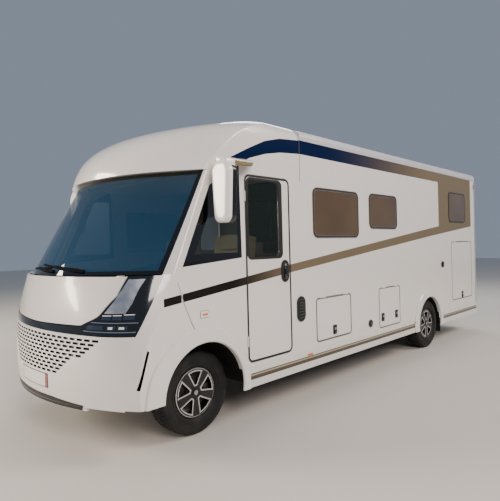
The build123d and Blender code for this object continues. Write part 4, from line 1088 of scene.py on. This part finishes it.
lampFinish = {
    # thickness and finish
    "silver": (0.0014, silverSatin), "chrome": (0.0014, chrome),
    "lens": (0.0026, clearLens), "glass": (0.0014, lampGlass),
}
for name, (points, finish) in lampPatches.items():
    thick, material = lampFinish[finish]
    bothSides(patchOn(name + "Left", points, "headlamps", 0.0004, thick), material)
print("headlamp details placed")

frontPatches = {
    # outline as (x, z), lift, thickness, size of its cells and finish
    "plateFrame": (oblong(-0.270, 0.482, 0.270, 0.602), 0.0003, 0.0022, 0.06, mattBlack),
    "plateFace": (oblong(-0.260, 0.488, 0.226, 0.596), 0.0022, 0.0008, 0.06, clearLens),
    "plateStrip": (oblong(0.228, 0.488, 0.262, 0.596), 0.0022, 0.0009, 0.06, redLens),
    "bumperLip": ([(-0.665, 0.363), (0.665, 0.363), (0.682, 0.402), (0.310, 0.424), (-0.310, 0.424),
                   (-0.682, 0.402)], 0.0003, 0.0025, 0.05, mattBlack),
    "lipRidge": (oblong(-0.650, 0.386, 0.650, 0.392), 0.0025, 0.001, 0.05, glossBlack),
}
for name, (points, lift, thick, cells, material) in frontPatches.items():
    patch = patchOn(name, points, "front_bumper", lift, thick, cells)
    done(patch, "coach", material)
print("plate and lip placed")

wipers = {
    # ends of each strip on the screen as (x, z), its width, lift and thickness
    "wiperBladeOne": ((-0.520, 1.446), (0.080, 1.462), 0.012, 0.0005, 0.010),
    "wiperBladeTwo": ((-0.120, 1.486), (0.440, 1.450), 0.012, 0.0005, 0.010),
    "wiperArmOne": ((-0.220, 1.456), (0.150, 1.432), 0.020, 0.010, 0.006),
    "wiperArmTwo": ((0.150, 1.470), (0.520, 1.432), 0.020, 0.010, 0.006),
}
for name, ((x0, z0), (x1, z1), wide, lift, thick) in wipers.items():
    strip = [(x0, z0 - wide / 2), (x1, z1 - wide / 2), (x1, z1 + wide / 2), (x0, z0 + wide / 2)]
    done(patchOn(name, strip, "windscreen", lift, thick, 0.05), "coach", wiperBlack)
print("wipers placed")


# mirrors and rear lamps

rearwardPlates = {
    # two corners as (x, z) on the vehicle's left, corner radius, y of its foot, thickness, finish.
    # The mirrors have a tall glass over a low wide-angle one, and the rear lamps a clear and an amber field
    "mirrorMain": ((1.262, 1.925), (1.398, 2.225), 0.022, -2.581, 0.0025, mirrorChrome),
    "mirrorWide": ((1.262, 1.828), (1.398, 1.905), 0.022, -2.581, 0.0025, mirrorChrome),
    "reverseField": ((0.975, 0.580), (1.065, 0.640), 0.014, 3.6965, 0.002, clearLens),
    "turnField": ((0.975, 0.780), (1.065, 0.880), 0.014, 3.6965, 0.002, amberLens),
}
for name, (low, high, radius, y, thick, material) in rearwardPlates.items():
    plate = drawOutline(name + "Left", [(x, y, z) for x, z in roundedCorners(low, high, radius)])
    pushOut(plate, (0, thick, 0))
    bothSides(plate, material)

# the mirror's arm runs softly into its head, on a copy of the solid
softening = {"voxel": 0.009, "strength": 0.5, "rounds": 14}
mirrorFoot = {"place": (1.1695, -2.275, 2.345), "radius": 0.006, "depth": 0.003}
lampBars = {"x": (0.962, 1.078), "y": (3.6960, 3.6985), "z": (0.660, 0.760), "half": 0.002}
shell = addCopy("mirrorShells", "mirrors")
applyModifier(shell, "REMESH", mode="VOXEL", voxel_size=softening["voxel"])
applyModifier(shell, "SMOOTH", factor=softening["strength"], iterations=softening["rounds"])
smooth(shell, 60)
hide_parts("mirrors")
done(shell, "coach", mirrorCase)
for side, label in sides:
    x, y, z = mirrorFoot["place"]
    foot = addDisc("mirrorFoot" + label, (side * x, y, z), mirrorFoot["radius"], mirrorFoot["depth"])
    roundEdges(foot, 0.002)
    done(foot, "coach", mattBlack)
    for z in lampBars["z"]:
        # the dark bars that part the rear lamp's fields
        bar = sideBox(f"lampLine{int(z * 1000)}{label}", side, lampBars["x"], lampBars["y"],
                      (z - lampBars["half"], z + lampBars["half"]))
        done(bar, "coach", glossBlack)
print("mirrors and rear lamp fields placed")


# soft goods in the cab and the living space

cushions = {
    # low corner, high corner, tilt about X in degrees, cloth, fill
    "driverSeatPad": ((0.240, -2.335, 0.998), (0.700, -1.925, 1.062), 2, creamCloth, 0.7),
    "passengerSeatPad": ((-0.700, -2.335, 0.998), (-0.240, -1.925, 1.062), 2, creamCloth, 0.7),
    "driverBackPad": ((0.250, -1.885, 1.040), (0.690, -1.825, 1.560), -11, creamCloth, 0.7),
    "passengerBackPad": ((-0.690, -1.885, 1.040), (-0.250, -1.825, 1.560), -11, creamCloth, 0.7),
    "driverHeadrest": ((0.340, -1.815, 1.575), (0.600, -1.745, 1.725), -11, creamCloth, 0.9),
    "passengerHeadrest": ((-0.600, -1.815, 1.575), (-0.340, -1.745, 1.725), -11, creamCloth, 0.9),
    "benchPad": ((0.520, -0.735, 1.226), (1.090, -0.350, 1.296), 0, creamCloth, 0.7),
    "benchBackPad": ((0.520, -0.405, 1.290), (1.090, -0.335, 1.690), 0, creamCloth, 0.7),
    "sideSeatPad": ((-1.100, -1.385, 1.226), (-0.620, -1.095, 1.296), 0, creamCloth, 0.7),
    "dropBedTopper": ((-0.960, -2.640, 2.446), (0.960, -1.500, 2.486), 0, bedCloth, 0.5),
    "rearBedTopper": ((-1.070, 2.300, 1.800), (1.070, 3.610, 1.850), 0, bedCloth, 0.5),
}
padLook = {"cuts": 7, "crown": 0.25, "most": 0.1}     # crown as a share of the pad's thickness over its reach
for name, (low, high, tilt, cloth, fill) in cushions.items():
    # the big faces swell, the corners draw in
    mid = [(a + b) / 2 for a, b in zip(low, high)]
    sizes = [b - a for a, b in zip(low, high)]
    reach = hypot(*sizes) / 2
    pad = addBox(name, [a - m for a, m in zip(low, mid)], [b - m for b, m in zip(high, mid)])
    editAll(pad)
    bpy.ops.mesh.subdivide(number_cuts=padLook["cuts"])
    leaveEdit()
    crown = min(padLook["most"], padLook["crown"] * min(sizes) / reach)
    applyModifier(pad, "CAST", cast_type="SPHERE", factor=crown, radius=reach, size=reach)
    applyModifier(pad, "SUBSURF", levels=2, render_levels=2)
    pad.rotation_euler = (radians(tilt), 0, 0)
    pad.location = mid
    bakePlace(pad)
    smooth(pad, 180)
    done(pad, "coach", cloth)
print("cushions placed")


# pale floor and soft studio light

deselectAll()
bpy.ops.mesh.primitive_plane_add(size=80, location=(0, 0, 0))
floor = bpy.context.object
floor.name = "studioFloor"
dress(floor, newMaterial("studioFloor", "#cfcbc4", Roughness=0.7)[0])

studioLights = [
    # place, aim, size, watts, colour
    ((10.5, -6.0, 7.0), (0.8, -0.6, 1.2), 4.5, 950, "#fff0e6"),
    ((9.0, 5.0, 10.0), (1.1, 1.0, 1.4), 4.5, 1000, "#fff4e6"),
    ((-7.5, -10.5, 4.5), (0, -3.4, 1.2), 4.5, 1900, "#ffefdb"),
    ((-6.0, 8.0, 7.0), (0, 1.0, 1.5), 6.0, 380, "#ffffff"),
]
for spot, aim, size, power, colour in studioLights:
    deselectAll()
    bpy.ops.object.light_add(type="AREA", location=spot)
    lamp = bpy.context.object
    lamp.data.size = size
    lamp.data.energy = power
    lamp.data.color = linear(colour)[:3]
    away = [a - b for a, b in zip(spot, aim)]
    lamp.rotation_euler = (atan2(hypot(*away[:2]), away[2]), 0, atan2(away[0], -away[1]))

world = bpy.data.worlds.new("softSky")
world.use_nodes = True
bpy.context.scene.world = world
background = world.node_tree.nodes["Background"]
background.inputs["Color"].default_value = linear("#c9d8ef")
background.inputs["Strength"].default_value = 0.38
print("studio set up")
